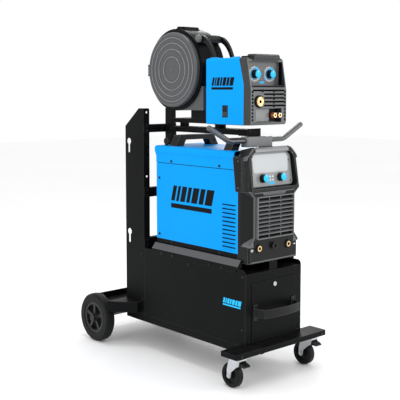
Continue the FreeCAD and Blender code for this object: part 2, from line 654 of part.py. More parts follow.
def ps_bezel():
    """Moulded front: lower skirt, narrower waist, and the eared frame round the control panel."""
    skirt_top, waist_top, top = 552.0, 770.0, 946.0
    full, ear, waist = PS_HALF, PS_HALF + 5, 110.0
    skirt_plan = [(-full, PS_FRONT), (-full, 10), (-full + 8, 2), (full - 8, 2), (full, 10), (full, PS_FRONT)]
    skirt = prism_z(skirt_plan, PS_BOTTOM, skirt_top)
    waist_plan = [(-full, PS_FRONT), (-full, 52), (-waist, 2), (waist, 2), (full, 52), (full, PS_FRONT)]
    middle = prism_z(waist_plan, skirt_top, waist_top)
    frame_side = [(76, waist_top), (18, waist_top), (-10, waist_top + 4), (-10, waist_top + 10), (16, 938),
                  (30, top), (92, 930), (92, 912), (76, 776)]
    head = prism_x(frame_side, -ear, ear)
    corner = [(-ear, 905), (-ear + 38, top), (-ear, top)]
    for side in (corner, [(-x, z) for x, z in corner]):
        head = head.cut(prism_y(side, -20, 100))
    cheek = [(-ear, -12), (-ear, 44), (-ear + 12, 18), (-ear + 12, -12)]
    for plan in (cheek, [(-x, y) for x, y in cheek]):
        head = head.cut(prism_z(plan, waist_top, top))
    recess = [(-30, PANEL_Z - 4), (panel_depth(PANEL_Z - 4), PANEL_Z - 4), (panel_depth(926), 926), (-30, 926)]
    mouth = [(-121, PANEL_Z - 4), (121, PANEL_Z - 4), (129, PANEL_Z + 8), (123, 905), (104, 926),
             (-104, 926), (-123, 905), (-129, PANEL_Z + 8)]
    head = head.cut(prism_x(recess, -140, 140).common(prism_y(mouth, -30, 60)))
    hollow = fuse(box(-full + 4, full - 4, 56, 100, PS_BLUE, 915), box(-100, 100, 8, 60, PS_BOTTOM + 4, waist_top - 6),
                  box(-full + 4, full - 4, 56, 100, PS_BOTTOM + 4, PS_BLUE))
    body = fuse(skirt, middle, head).cut(hollow)
    clear = box(-PS_HALF - 1, PS_HALF + 1, 87, 100, PS_FOLD - 2, PS_TOP + 30)
    body = body.cut(clear)
    side_gap = box(-PS_HALF, PS_HALF, PS_FRONT, 100, PS_BOTTOM, PS_TOP)
    body = body.cut(side_gap)
    grille_seat = box(-107, 107, -12, 10, 580, 752)
    body = body.cut(grille_seat)
    for x in (-SOCKET_X, SOCKET_X):
        body = body.cut(rod(point(x, -20, SOCKET_Z), Y_DIR, 12.0, 80))
        body = body.fuse(ring(point(x, -3, SOCKET_Z), Y_DIR, 19.0, 12.0, 8))
    body = body.fuse(ring(point(-4, -10, 546), Y_DIR, 14.0, 8.0, 15))
    return body.removeSplitter()


def tilted(shape):
    """Leans a piece drawn upright at the panel's foot back with the panel."""
    shape = shape.copy()
    shape.rotate(point(0, PANEL_Y, PANEL_Z), X_DIR, -PANEL_TILT)
    return shape


def ps_grille():
    """Louvred intake panel, three bays of ten slots."""
    plate = box(-107, 107, -12, 2, 580, 752)
    plate = rounded(plate, Y_DIR, 5.0)
    for i in range(10):
        z = 590 + i * 15.6
        for x0, x1 in ((-98, -34), (-29, 33), (38, 98)):
            plate = plate.cut(box(x0, x1, -13, 3, z, z + 8))
    return plate


def ps_display():
    """Control panel plate in the frame, drilled for the two knob shafts."""
    outline = [(-117, 0), (117, 0), (125, 10), (119, 118), (101, 137), (-101, 137), (-119, 118), (-125, 10)]
    plate = prism_y([(x, PANEL_Z + z) for x, z in outline], PANEL_Y - 4, PANEL_Y)
    for x in (-KNOB_X, KNOB_X):
        plate = plate.cut(rod(point(x, PANEL_Y - 10, knob_height()), Y_DIR, 4 + RUN, 20))
    return tilted(plate)


def knob_height():
    """Height of the knobs measured up the panel before it leans back."""
    return PANEL_Z + (KNOB_Z - PANEL_Z) / math.cos(math.radians(PANEL_TILT))


def knob_body(x, y, z, radius, length):
    """Fluted control knob with a pointer rib, facing the front."""
    skirt = rod(point(x, y - 5, z), Y_DIR, radius, 5)
    cap = rod(point(x, y - length, z), Y_DIR, radius - 2, length - 5)
    front = [edge for edge in cap.Edges if abs(edge.CenterOfMass.y - (y - length)) < 1e-6]
    cap = cap.makeFillet(2.0, front)
    knob = fuse(skirt, cap)
    flutes = 16
    for i in range(flutes):
        turn = 2 * math.pi * i / flutes
        at = point(x + (radius - 1.2) * math.cos(turn), y - length + 3, z + (radius - 1.2) * math.sin(turn))
        knob = knob.cut(rod(at, Y_DIR, 1.4, length - 8))
    return knob


def ps_knob(side):
    x = side * KNOB_X
    z = knob_height()
    shaft = rod(point(x, PANEL_Y - 5, z), Y_DIR, 4.0, 4.5)
    return tilted(fuse(knob_body(x, PANEL_Y - 4 - FREE, z, KNOB_R, 22.0), shaft))


def ps_sockets():
    """Brass weld-cable sockets, a blind bore in each."""
    sockets = []
    for x in (-SOCKET_X, SOCKET_X):
        body = rod(point(x, -2, SOCKET_Z), Y_DIR, 12.0, 42.0)
        sockets.append(body.cut(rod(point(x, -3, SOCKET_Z), Y_DIR, 6.6, 33.0)))
    return group(*sockets)


def ps_handles():
    """Two moulded carrying handles across the top cover."""
    handles = []
    half = 22.0
    for y in (149.0, 492.0):
        outer = [(-124, PS_TOP), (-98, PS_TOP + 48), (98, PS_TOP + 48), (124, PS_TOP)]
        inner = [(-84, PS_TOP - 5), (-68, PS_TOP + 27), (68, PS_TOP + 27), (84, PS_TOP - 5)]
        body = rounded(prism_y(outer, y - half, y + half), Y_DIR, 14.0, lambda c: c.z > PS_TOP + 40)
        body = body.cut(prism_y(inner, y - half - 1, y + half + 1))
        for side in (-1, 1):
            x0, x1 = sorted((side * 94, side * 101))
            body = body.cut(box(x0, x1, y - half - 1, y + half + 1, PS_TOP + 10, PS_TOP + 28))
        handles.append(body)
    return group(*handles)


def ps_fan():
    hub = rod(point(0, FAN_Y, FAN_Z), Y_DIR, 16, 18)
    blades = []
    count = 7
    for i in range(count):
        blade = box(-1, 1, FAN_Y + 2, FAN_Y + 16, FAN_Z + 14, FAN_Z + 53)
        blade.rotate(point(0, FAN_Y + 9, FAN_Z + 30), Z_DIR, 35)
        blade.rotate(point(0, FAN_Y, FAN_Z), Y_DIR, 360.0 / count * i)
        blades.append(blade)
    bore = rod(point(0, FAN_Y - 1, FAN_Z), Y_DIR, 4 + RUN, 12)
    return fuse(hub, *blades).cut(bore)


def ps_inverter():
    """Heat sink, transformer, choke, circuit board and the fan motor."""
    floor = PS_BOTTOM + 2
    fins = [box(-110, -6, 150, 430, floor, floor + 12)]
    for i in range(13):
        x = -110 + i * 8.5
        fins.append(box(x, x + 2, 150, 430, floor + 12, floor + 70))
    sink = fuse(*fins)
    board = box(-114, 114, 145, 440, floor + 190, floor + 193)
    posts = [box(x, x + 6, y, y + 6, floor, floor + 190) for x in (6, 106) for y in (150, 425)]
    core = fuse(box(20, 100, 170, 270, floor, floor + 84), box(34, 86, 160, 280, floor + 16, floor + 68))
    choke = ring(point(60, 340, floor), Z_DIR, 40, 16, 46)
    motor = rod(point(0, FAN_Y - 34, FAN_Z), Y_DIR, 24, 33)
    shaft = rod(point(0, FAN_Y - 1, FAN_Z), Y_DIR, 4, 10)
    bracket = box(-20, 20, FAN_Y - 38, FAN_Y - 34, floor, FAN_Z + 20)
    return group(sink, board, *posts, core, choke, fuse(motor, shaft, bracket))


def ps_fasteners():
    """Cover screws and the lifting eye."""
    heads = []
    out_lap = PS_HALF + 0.8
    for side in (-1, 1):
        out = point(side, 0, 0)
        for y in (174, 480):
            heads.append(screw(point(side * out_lap, y, 866), out, 5.5, 3.0))
        for z in (538, 788):
            heads.append(screw(point(side * PS_HALF, 563, z), out, 5.5, 3.0))
        for y in (175, 483):
            heads.append(screw(point(side * (PS_HALF - 2), y, 509), out, 4.0, 1.5))
    eye_x, eye_y = -112.0, 552.0
    foot = rod(point(eye_x, eye_y, PS_TOP), Z_DIR, 9, 4)
    loop = Part.makeTorus(13.0, 3.5, point(eye_x, eye_y, PS_TOP + 19), X_DIR)
    heads.append(fuse(foot, rod(point(eye_x, eye_y, PS_TOP), Z_DIR, 5, 9), loop))
    return group(*heads)


def ps_switch():
    """Rocker of the mains switch on its cross pin."""
    half_x, half_z = 12.0, 8.0
    y = PS_REAR
    outline = [(y - 8, SWITCH_Z - 5), (y + 1, SWITCH_Z - half_z), (y + 3, SWITCH_Z), (y + 5, SWITCH_Z + half_z),
               (y - 2, SWITCH_Z + half_z), (y - 8, SWITCH_Z + 5)]
    rocker = prism_x(outline, SWITCH_X - half_x, SWITCH_X + half_x)
    return fuse(rocker, rod(point(SWITCH_X - 14.5, y - 4.5, SWITCH_Z), X_DIR, 2.0, 29))


# ---- wire feeder -------------------------------------------------------------------
def drum_space(radius):
    return rod(point(DRUM_LEFT, DRUM_Y, DRUM_Z), X_DIR, radius, DRUM_RIGHT - DRUM_LEFT)


def feeder_chassis():
    """Floor, centre wall, base rail with the swivel flange, and the cradle of the drum."""
    wall_x = -35.0
    floor = box(-98, 98, 77.5, 297, WF_BOTTOM, WF_BOTTOM + 3)
    wall = box(wall_x, wall_x + 2, 84, 296, WF_BOTTOM + 3, 1290)
    body = fuse(floor, wall)
    half = 60.0
    rail = box(-half, half, 300, 587, WF_BOTTOM - 1, 1050)
    rail = rail.cut(box(-half + 3, half - 3, 303, 584, WF_BOTTOM - 2, 1047))
    keeper = box(-half + 3, half - 3, 303, 345, WF_BOTTOM - 1, WF_BOTTOM + 4)
    flange = rod(point(0, PIVOT_Y, TOP_BEAM_Z1 + 8.4), Z_DIR, 24, 11.6)
    foot = box(-15, 15, 545, 572, TOP_BEAM_Z1 + 0.5, 1047)
    bore = rod(point(0, PIVOT_Y, TOP_BEAM_Z1), Z_DIR, PIVOT_R + RUN, 18)
    tongue = box(-half, half, 250, 303, WF_BOTTOM - 3, WF_BOTTOM)
    step = box(-half, half, 299.5, 303, WF_BOTTOM - 3, WF_BOTTOM + 3)
    rail = fuse(rail, keeper, flange, foot, tongue, step).cut(bore)
    block = box(-60, 30, 350, 445, 1050, 1088)
    ledge = box(-75, 42, 350, 560, 1088, 1096)
    gusset = prism_x([(350, 1096), (350, 1190), (366, 1190), (477, 1096)], -75, 42)
    cradle = fuse(block, ledge, gusset).cut(drum_space(DRUM_R))
    solids = [body, rail]
    solids.extend(cradle.Solids)
    return group(*solids)


def door_hinge_rod(radius, y, length):
    return rod(point(DOOR_PIN_X, y, DOOR_PIN_Z), Y_DIR, radius, length)


def feeder_cover():
    """Right side, top and back of the feeder, one folded sheet."""
    bend = 12.0
    outline = [(77, WF_BOTTOM + 1), (77, 1198), (103, WF_TOP), (WF_REAR, WF_TOP), (WF_REAR, WF_BOTTOM + 1)]
    outer = prism_x(outline, -WF_HALF, WF_HALF)
    outer = rounded(outer, Y_DIR, bend, lambda c: c.z > WF_TOP - 1)
    inner = [(70, WF_BOTTOM), (70, 1198), (70, WF_TOP - SKIN), (WF_REAR - SKIN, WF_TOP - SKIN),
             (WF_REAR - SKIN, WF_BOTTOM)]
    inner = rounded(prism_x(inner, -WF_HALF + SKIN, WF_HALF - SKIN), Y_DIR, bend - SKIN, lambda c: c.z > WF_TOP - 3)
    shell = outer.cut(inner)
    door_space = box(-WF_HALF - 1, -WF_HALF + bend + FREE, 70, WF_REAR - SKIN, WF_BOTTOM, WF_TOP + 1)
    rear_edge = box(-WF_HALF - 1, -WF_HALF + SKIN + FREE, WF_REAR - SKIN - 1, WF_REAR + 1, WF_BOTTOM, WF_TOP + 1)
    corner = box(-WF_HALF - 1, -WF_HALF + bend + FREE, WF_REAR - SKIN - 1, WF_REAR + 1, WF_TOP - bend - 1, WF_TOP + 1)
    shell = shell.cut(door_space).cut(rear_edge).cut(corner)
    for y in DOOR_HINGES:
        shell = shell.cut(door_hinge_rod(DOOR_EYE_R + FREE, y - FREE, 21))
        eyes = [door_hinge_rod(DOOR_EYE_R, start, 7.5) for start in (y - 8, y + 20.5)]
        shell = fuse(shell, door_hinge_rod(DOOR_PIN_R, y - 8, 36), *eyes)
    return shell


def feeder_door():
    """Left side of the feeder, hinged along its top bend."""
    bend = 12.0
    outline = [(77 + FREE, WF_BOTTOM + 2), (77 + FREE, 1198), (105, WF_TOP), (WF_REAR, WF_TOP),
               (WF_REAR, WF_BOTTOM + 2)]
    outer = prism_x(outline, -WF_HALF, WF_HALF)
    outer = rounded(outer, Y_DIR, bend, lambda c: c.z > WF_TOP - 1)
    inner = prism_x([(60, WF_BOTTOM), (60, WF_TOP - SKIN), (400, WF_TOP - SKIN), (400, WF_BOTTOM)],
                    -WF_HALF + SKIN, WF_HALF - SKIN)
    inner = rounded(inner, Y_DIR, bend - SKIN, lambda c: c.z > WF_TOP - 3)
    skin = outer.cut(inner).common(box(-WF_HALF - 1, -WF_HALF + bend, 60, WF_REAR + 1, WF_BOTTOM, WF_TOP + 1))
    for y in DOOR_HINGES:
        for start in (y - 8.5, y + 20):
            skin = skin.cut(door_hinge_rod(DOOR_EYE_R + FREE, start, 8.5))
        skin = skin.fuse(door_hinge_rod(DOOR_EYE_R, y, 20)).cut(door_hinge_rod(DOOR_PIN_R + RUN, y - 1, 22))
    skin = skin.cut(box(-WF_HALF - 2, -WF_HALF + 3, 170, 199, 1064, 1110))
    lugs = [box(-WF_HALF + 1, LATCH_X + 2.5, y, y + 2, LATCH_Z - 3, LATCH_Z + 3) for y in (168, 199)]
    return fuse(skin, *lugs).cut(rod(point(LATCH_X, 167, LATCH_Z), Y_DIR, 1.0 + RUN, 35))


def door_latch():
    """Paddle latch that hinges out of the door at its top edge."""
    y0, y1 = 170 + FREE, 199 - FREE
    outline = [(-WF_HALF - 2, 1064.8), (-WF_HALF - 2, 1106.6), (-WF_HALF, 1108), (-WF_HALF + 2, 1108),
               (-WF_HALF + 2, 1066), (-WF_HALF + 1, 1064.8)]
    barrel = rod(point(LATCH_X, y0, LATCH_Z), Y_DIR, 1.8, y1 - y0)
    pin = rod(point(LATCH_X, 168.2, LATCH_Z), Y_DIR, 1.0, 32.6)
    return fuse(prism_y(outline, y0, y1), barrel, pin)


def feeder_bezel():
    """Moulded front with a deep control recess, an intake grille and a connector recess."""
    outline = [(77, WF_BOTTOM + 1), (44, WF_BOTTOM + 1), (WF_FRONT, WF_BOTTOM + 12), (WF_FRONT, 1175), (58, 1296),
               (66, WF_TOP), (103, WF_TOP), (77, 1198)]
    body = prism_x(outline, -WF_HALF, WF_HALF)
    body = rounded(body, X_DIR, 3.0, lambda c: c.y < 60 and c.z < 1060)
    bend = rounded(box(-WF_HALF, WF_HALF, 20, 110, WF_BOTTOM, WF_TOP), Y_DIR, 12.0, lambda c: c.z > WF_TOP - 1)
    body = body.common(bend)
    visor = prism_x([(52, 1290), (44, 1306), (50, 1317), (84, 1317), (94, 1304)], -72, 72)
    body = fuse(body, visor)
    recess = [(20, 1192), (WF_PANEL, 1192), (WF_PANEL, 1288), (20, 1288)]
    body = body.cut(prism_x(recess, -WF_HALF + 5, WF_HALF - 5))
    body = body.cut(box(-74, 74, 20, 58, 1044, 1101))
    hollow = box(-WF_HALF + 5, WF_HALF - 5, 44, 90, 1106, 1186)
    body = body.cut(hollow)
    body = body.cut(box(-WF_HALF + 3, WF_HALF - 3, 80, 104, 1192, 1296))
    for i in range(5):
        z = 1108 + i * 15.2
        for x0, x1 in ((-92, -34), (-29, 29), (34, 92)):
            if x0 < WIRE_X < x1 and z < WIRE_Z + 30:
                continue
            body = body.cut(box(x0, x1, 30, 50, z, z + 7))
    body = body.cut(rod(point(WIRE_X, 20, WIRE_Z), Y_DIR, 19.0, 70))
    for x in (-WF_KNOB_X, WF_KNOB_X):
        body = body.cut(rod(point(x, WF_PANEL - 5, WF_KNOB_Z), Y_DIR, 4 + RUN, 20))
    for x in (33, 62):
        body = body.cut(rod(point(x, 50, 1072), Y_DIR, 6.0, 30))
    collar = ring(point(WIRE_X, 30, WIRE_Z), Y_DIR, 23.0, 19.0, 14)
    return fuse(body, collar)


def feeder_knob(side):
    x = side * WF_KNOB_X
    shaft = rod(point(x, WF_PANEL - 1, WF_KNOB_Z), Y_DIR, 4.0, 4.0)
    return fuse(knob_body(x, WF_PANEL - FREE, WF_KNOB_Z, KNOB_R, 21.0), shaft)


def feeder_connectors():
    """Torch connector with its wire bore and pin holes, and the two hose couplings."""
    torch = rod(point(WIRE_X, 26, WIRE_Z), Y_DIR, 19.0, 56)
    torch = torch.cut(rod(point(WIRE_X, 24, WIRE_Z), Y_DIR, 6.6, 40))
    torch = torch.cut(rod(point(WIRE_X, 64, WIRE_Z), Y_DIR, 2.0, 20))
    for x, z in ((-8, 12), (8, 12)):
        torch = torch.cut(rod(point(WIRE_X + x, 24, WIRE_Z + z), Y_DIR, 2.0, 20))
    couplings = []
    for x in (33, 62):
        stem = rod(point(x, 48, 1072), Y_DIR, 6.0, 34)
        collar = rod(point(x, 31, 1072), Y_DIR, 10.0, 17)
        bore = rod(point(x, 30, 1072), Y_DIR, 4.6, 24)
        couplings.append(fuse(stem, collar).cut(bore))
    return group(torch, *couplings)


def spool_housing():
    """Round drum open to the left, with the spool shaft and the lid catch."""
    wall = 4.0
    shell = drum_space(DRUM_R)
    cavity = rod(point(DRUM_LEFT - 1, DRUM_Y, DRUM_Z), X_DIR, DRUM_R - wall, DRUM_RIGHT - DRUM_LEFT - wall + 1)
    shell = shell.cut(cavity)
    mouth = ring(point(DRUM_LEFT, DRUM_Y, DRUM_Z), X_DIR, DRUM_R - 1, 157.0, 3.0)
    shaft = rod(point(-72, DRUM_Y, DRUM_Z), X_DIR, SPOOL_BORE - 0.06, DRUM_RIGHT + 72 - wall)
    shoulder = rod(point(32, DRUM_Y, DRUM_Z), X_DIR, 40, DRUM_RIGHT - 32 - wall)
    catch = prism_x([(DRUM_Y - 48, DRUM_Z + 168), (DRUM_Y - 34, DRUM_Z + DRUM_R + 9), (DRUM_Y + 10, DRUM_Z + DRUM_R + 12),
                     (DRUM_Y + 34, DRUM_Z + 168)], -60, 20)
    catch = catch.cut(rod(point(-61, DRUM_Y, DRUM_Z), X_DIR, DRUM_R - wall, 90))
    inlet = rod(point(WIRE_X, 330, WIRE_Z), Y_DIR, 5, 120)
    eyes = []
    for z in (DRUM_Z - 26, DRUM_Z + 16):
        eyes.append(rod(point(HINGE_X, HINGE_Y, z), Z_DIR, HINGE_R, 10))
        eyes.append(box(HINGE_X, DRUM_LEFT + 14, HINGE_Y - 4, HINGE_Y + 5, z, z + 10))
    pin = rod(point(HINGE_X, HINGE_Y, DRUM_Z - 26), Z_DIR, HINGE_PIN_R, 52)
    return fuse(shell, mouth, shaft, shoulder, catch, pin, *eyes).cut(inlet)


def spool_lid():
    """Dished lid with concentric grooves, hinged at its foot."""
    back = DRUM_LEFT - FREE
    lid = rod(point(LID_FACE, DRUM_Y, DRUM_Z), X_DIR, LID_R, back - LID_FACE)
    front = [edge for edge in lid.Edges if abs(edge.CenterOfMass.x - LID_FACE) < 1e-6]
    lid = lid.makeFillet(9.0, front)
    lid = lid.cut(rod(point(LID_FACE + 4, DRUM_Y, DRUM_Z), X_DIR, LID_R - 5, 40))
    for r in (56, 89, 115, 139):
        lid = lid.cut(ring(point(LID_FACE - 1, DRUM_Y, DRUM_Z), X_DIR, r + 2, r - 2, 2.5))
    strap = box(LID_FACE + 14, back, HINGE_Y - 16, HINGE_Y, DRUM_Z - 15, DRUM_Z + 15)
    knuckle = rod(point(HINGE_X, HINGE_Y, DRUM_Z - 15), Z_DIR, HINGE_R, 30)
    lid = fuse(lid, strap, knuckle)
    return lid.cut(rod(point(HINGE_X, HINGE_Y, DRUM_Z - 16), Z_DIR, HINGE_PIN_R + RUN, 32))


def wire_spool():
    """Spool of welding wire: two flanges, a hub and the wound wire."""
    x0, x1 = -70.0, 30.0
    centre = rod(point(x0, DRUM_Y, DRUM_Z), X_DIR, 34, x1 - x0)
    flanges = [rod(point(x, DRUM_Y, DRUM_Z), X_DIR, SPOOL_R, 4) for x in (x0, x1 - 4)]
    wire = ring(point(x0 + 4, DRUM_Y, DRUM_Z), X_DIR, 132, 34, x1 - x0 - 8)
    bore = rod(point(x0 - 1, DRUM_Y, DRUM_Z), X_DIR, SPOOL_BORE, x1 - x0 + 2)
    return group(fuse(centre, *flanges).cut(bore), wire)


def feeder_handle():
    """Cross grip on two swept arms above the back of the feeder."""
    grip_y, grip_z, grip_r = 379.0, 1392.0, 16.0
    left, right = -75.0, 50.0
    grip = rod(point(left, grip_y, grip_z), X_DIR, grip_r, right - left)
    grip = grip.fuse(Part.makeSphere(grip_r, point(left, grip_y, grip_z)))
    arms = []
    for x in (left + 8, right - 12):
        def edge(points):
            a, b, c = [point(x, y, z) for y, z in points]
            return Part.Arc(a, b, c)
        outer = edge([(grip_y - 4, grip_z + 14), (322, 1378), (WF_REAR - 16, WF_TOP)]).toShape()
        inner = edge([(WF_REAR + 4, WF_TOP), (334, 1358), (grip_y - 2, grip_z - 12)]).toShape()
        close_a = Part.LineSegment(point(x, WF_REAR - 16, WF_TOP), point(x, WF_REAR + 4, WF_TOP)).toShape()
        close_b = Part.LineSegment(point(x, grip_y - 2, grip_z - 12), point(x, grip_y - 4, grip_z + 14)).toShape()
        wire = Part.Wire([outer, close_a, inner, close_b])
        arm = Part.Face(wire).extrude(point(12, 0, 0))
        arms.append(arm)
    return fuse(grip, *arms)


def wire_drive():
    """Drive motor, gear plate and wire guides on the centre wall."""
    axis_z = WIRE_Z - ROLL_R - 0.6
    plate = box(-46, -35, 140, 250, 1085, 1170)
    motor = rod(point(-33, DRIVE_Y, axis_z), X_DIR, 30, 88)
    guide_in = fuse(rod(point(WIRE_X, 232, WIRE_Z), Y_DIR, 5, 30), box(WIRE_X, -46, 238, 250, WIRE_Z - 5, WIRE_Z + 5))
    guide_out = fuse(rod(point(WIRE_X, 112, WIRE_Z), Y_DIR, 5, 34), box(WIRE_X, -46, 140, 146, WIRE_Z - 5, WIRE_Z + 5))
    shaft = rod(point(-64, DRIVE_Y, axis_z), X_DIR, 5, 18)
    pivot = rod(point(-56, 232, WIRE_Z + 20), X_DIR, 4, 10)
    body = fuse(plate, guide_in, guide_out, shaft, pivot)
    through = rod(point(WIRE_X, 100, WIRE_Z), Y_DIR, 1.2, 180)
    return group(body.cut(through), motor)


def feed_roll():
    axis_z = WIRE_Z - ROLL_R - 0.6
    body = rod(point(WIRE_X - 5, DRIVE_Y, axis_z), X_DIR, ROLL_R, 10)
    groove = ring(point(WIRE_X - 0.6, DRIVE_Y, axis_z), X_DIR, ROLL_R + 1, ROLL_R - 0.6, 1.2)
    return body.cut(groove).cut(rod(point(WIRE_X - 6, DRIVE_Y, axis_z), X_DIR, 5 + RUN, 12))


def pressure_arm():
    """Swinging arm with the stub that carries the pressure roll."""
    z = WIRE_Z + ROLL_R + 0.6
    outline = [(236, WIRE_Z + 13), (240, WIRE_Z + 20), (236, WIRE_Z + 27), (190, z + 12), (150, z + 14), (150, z + 6),
               (178, z + 2), (180, z - 6), (200, z - 6), (222, WIRE_Z + 14)]
    arm = prism_x(outline, -51.5, -46.5)
    stub = rod(point(WIRE_X - 6, DRIVE_Y, z), X_DIR, 4, 12.5)
    return fuse(arm, stub).cut(rod(point(-60, 232, WIRE_Z + 20), X_DIR, 4 + RUN, 20))


def pressure_roll():
    z = WIRE_Z + ROLL_R + 0.6
    body = rod(point(WIRE_X - 5, DRIVE_Y, z), X_DIR, ROLL_R, 10)
    return body.cut(rod(point(WIRE_X - 6, DRIVE_Y, z), X_DIR, 4 + RUN, 12))


# ---- writing the pieces ------------------------------------------------------------
def pieces():
    """Every sub-part by the name it is filed under."""
    yield "base_pan", base_pan()
    yield "front_beam", front_beam()
    yield "cabinet_panels", cabinet_panels()
    yield "front_frame", front_frame()
    yield "seat_rails", seat_rails()
    yield "left_upright", left_upright()
    yield "centre_frame", centre_frame()
    yield "top_beam", top_beam()
    yield "handle_box", handle_box()
    yield "push_handle", push_handle()
    yield "axle_wings", axle_wings()
    yield "bottle_platform", bottle_platform()
    yield "rear_axle", rear_axle()
    yield "trolley_bolts", trolley_bolts()
    yield "caster_plates", caster_plates()
    yield "drawer_slides", drawer_slides()
    yield "drawer_tray", drawer_tray()
    yield "drawer_front", drawer_front()
    yield "drawer_handle", drawer_handle()
    yield "lock_barrel", lock_barrel()
    for name, side in (("left", -1), ("right", 1)):
        yield "tyre_" + name, wheel_at(tyre(), side)
        yield "rim_" + name, wheel_at(rim(), side)
        yield "caster_fork_" + name, caster_at(caster_fork(), side)
        yield "caster_wheel_" + name, caster_at(caster_wheel(), side)
        yield "brake_pedal_" + name, caster_at(brake_pedal(), side)
        yield "ps_knob_" + name, ps_knob(side)
        yield "feeder_knob_" + name, feeder_knob(side)
    yield "ps_base", ps_base()
    yield "ps_covers", ps_covers()
    yield "ps_rear_panel", ps_rear_panel()
    yield "ps_bezel", ps_bezel()
    yield "ps_grille", ps_grille()
    yield "ps_display", ps_display()
    yield "ps_sockets", ps_sockets()
    yield "ps_handles", ps_handles()
    yield "ps_fan", ps_fan()
    yield "ps_inverter", ps_inverter()
    yield "ps_fasteners", ps_fasteners()
    yield "ps_switch", ps_switch()
    yield "feeder_chassis", feeder_chassis()
    yield "feeder_cover", feeder_cover()
    yield "feeder_door", feeder_door()
    yield "door_latch", door_latch()
    yield "feeder_bezel", feeder_bezel()
    yield "feeder_connectors", feeder_connectors()
    yield "spool_housing", spool_housing()
    yield "spool_lid", spool_lid()
    yield "wire_spool", wire_spool()
    yield "feeder_handle", feeder_handle()
    yield "wire_drive", wire_drive()
    yield "feed_roll", feed_roll()
    yield "pressure_arm", pressure_arm()
    yield "pressure_roll", pressure_roll()


def place(shape):
    """Moves a piece from the drawing frame to the origin under the middle of the machine."""
    shape = shape.copy()
    shape.translate(point(0, -ORIGIN_Y, 0))
    return shape


def main():
    os.makedirs("parts", exist_ok=True)
    for name, shape in pieces():
        placed = place(shape)
        solids = len(placed.Solids)
        if not placed.isValid() or solids == 0:
            print("CHECK", name, "valid", placed.isValid(), "solids", solids)
        placed.exportStep("parts/" + name + ".step")
        print(name, solids, round(placed.Volume / 1000, 1), "cm3")


main()
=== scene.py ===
import json
import math

import bmesh
import bpy
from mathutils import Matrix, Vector


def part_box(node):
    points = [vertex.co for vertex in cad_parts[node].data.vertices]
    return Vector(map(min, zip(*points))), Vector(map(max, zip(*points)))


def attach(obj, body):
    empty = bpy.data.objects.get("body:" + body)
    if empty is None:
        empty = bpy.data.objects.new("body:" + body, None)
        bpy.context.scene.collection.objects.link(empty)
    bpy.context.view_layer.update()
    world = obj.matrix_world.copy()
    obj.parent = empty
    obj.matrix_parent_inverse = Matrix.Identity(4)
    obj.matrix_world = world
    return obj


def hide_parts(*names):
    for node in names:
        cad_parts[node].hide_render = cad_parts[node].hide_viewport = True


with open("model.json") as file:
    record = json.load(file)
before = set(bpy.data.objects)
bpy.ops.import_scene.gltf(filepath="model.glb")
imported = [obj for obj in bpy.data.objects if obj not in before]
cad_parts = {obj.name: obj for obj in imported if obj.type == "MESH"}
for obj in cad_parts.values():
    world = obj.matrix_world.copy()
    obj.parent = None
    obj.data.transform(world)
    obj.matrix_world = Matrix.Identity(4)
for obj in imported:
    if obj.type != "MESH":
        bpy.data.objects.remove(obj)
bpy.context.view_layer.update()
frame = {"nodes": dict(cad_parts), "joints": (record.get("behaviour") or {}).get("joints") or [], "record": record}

# A welding power source and swivelling wire feeder on a cabinet trolley.
# Metres, in the frame of the CAD model: X across, Y from front to back, Z up.

RECORD = frame["record"]
BODY_OF = {n: b for b, names in RECORD["behaviour"]["bodies"].items() for n in names}
SLOT_OF = {row["node"]: row["material_slot"] for row in RECORD["subparts"]}
BOX = {name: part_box(name) for name in frame["nodes"]}
MM = 0.001
LAP = 0.8 * MM  # how far the lap of the blue covers stands out from their sides


def low(node, axis):
    return BOX[node][0]["XYZ".index(axis)]


def high(node, axis):
    return BOX[node][1]["XYZ".index(axis)]


def middle(node):
    return (BOX[node][0] + BOX[node][1]) / 2


def joint(name):
    return next(row for row in frame["joints"] if row["name"] == name)


# ---- materials -------------------------------------------------------------------------
FINISH = {}


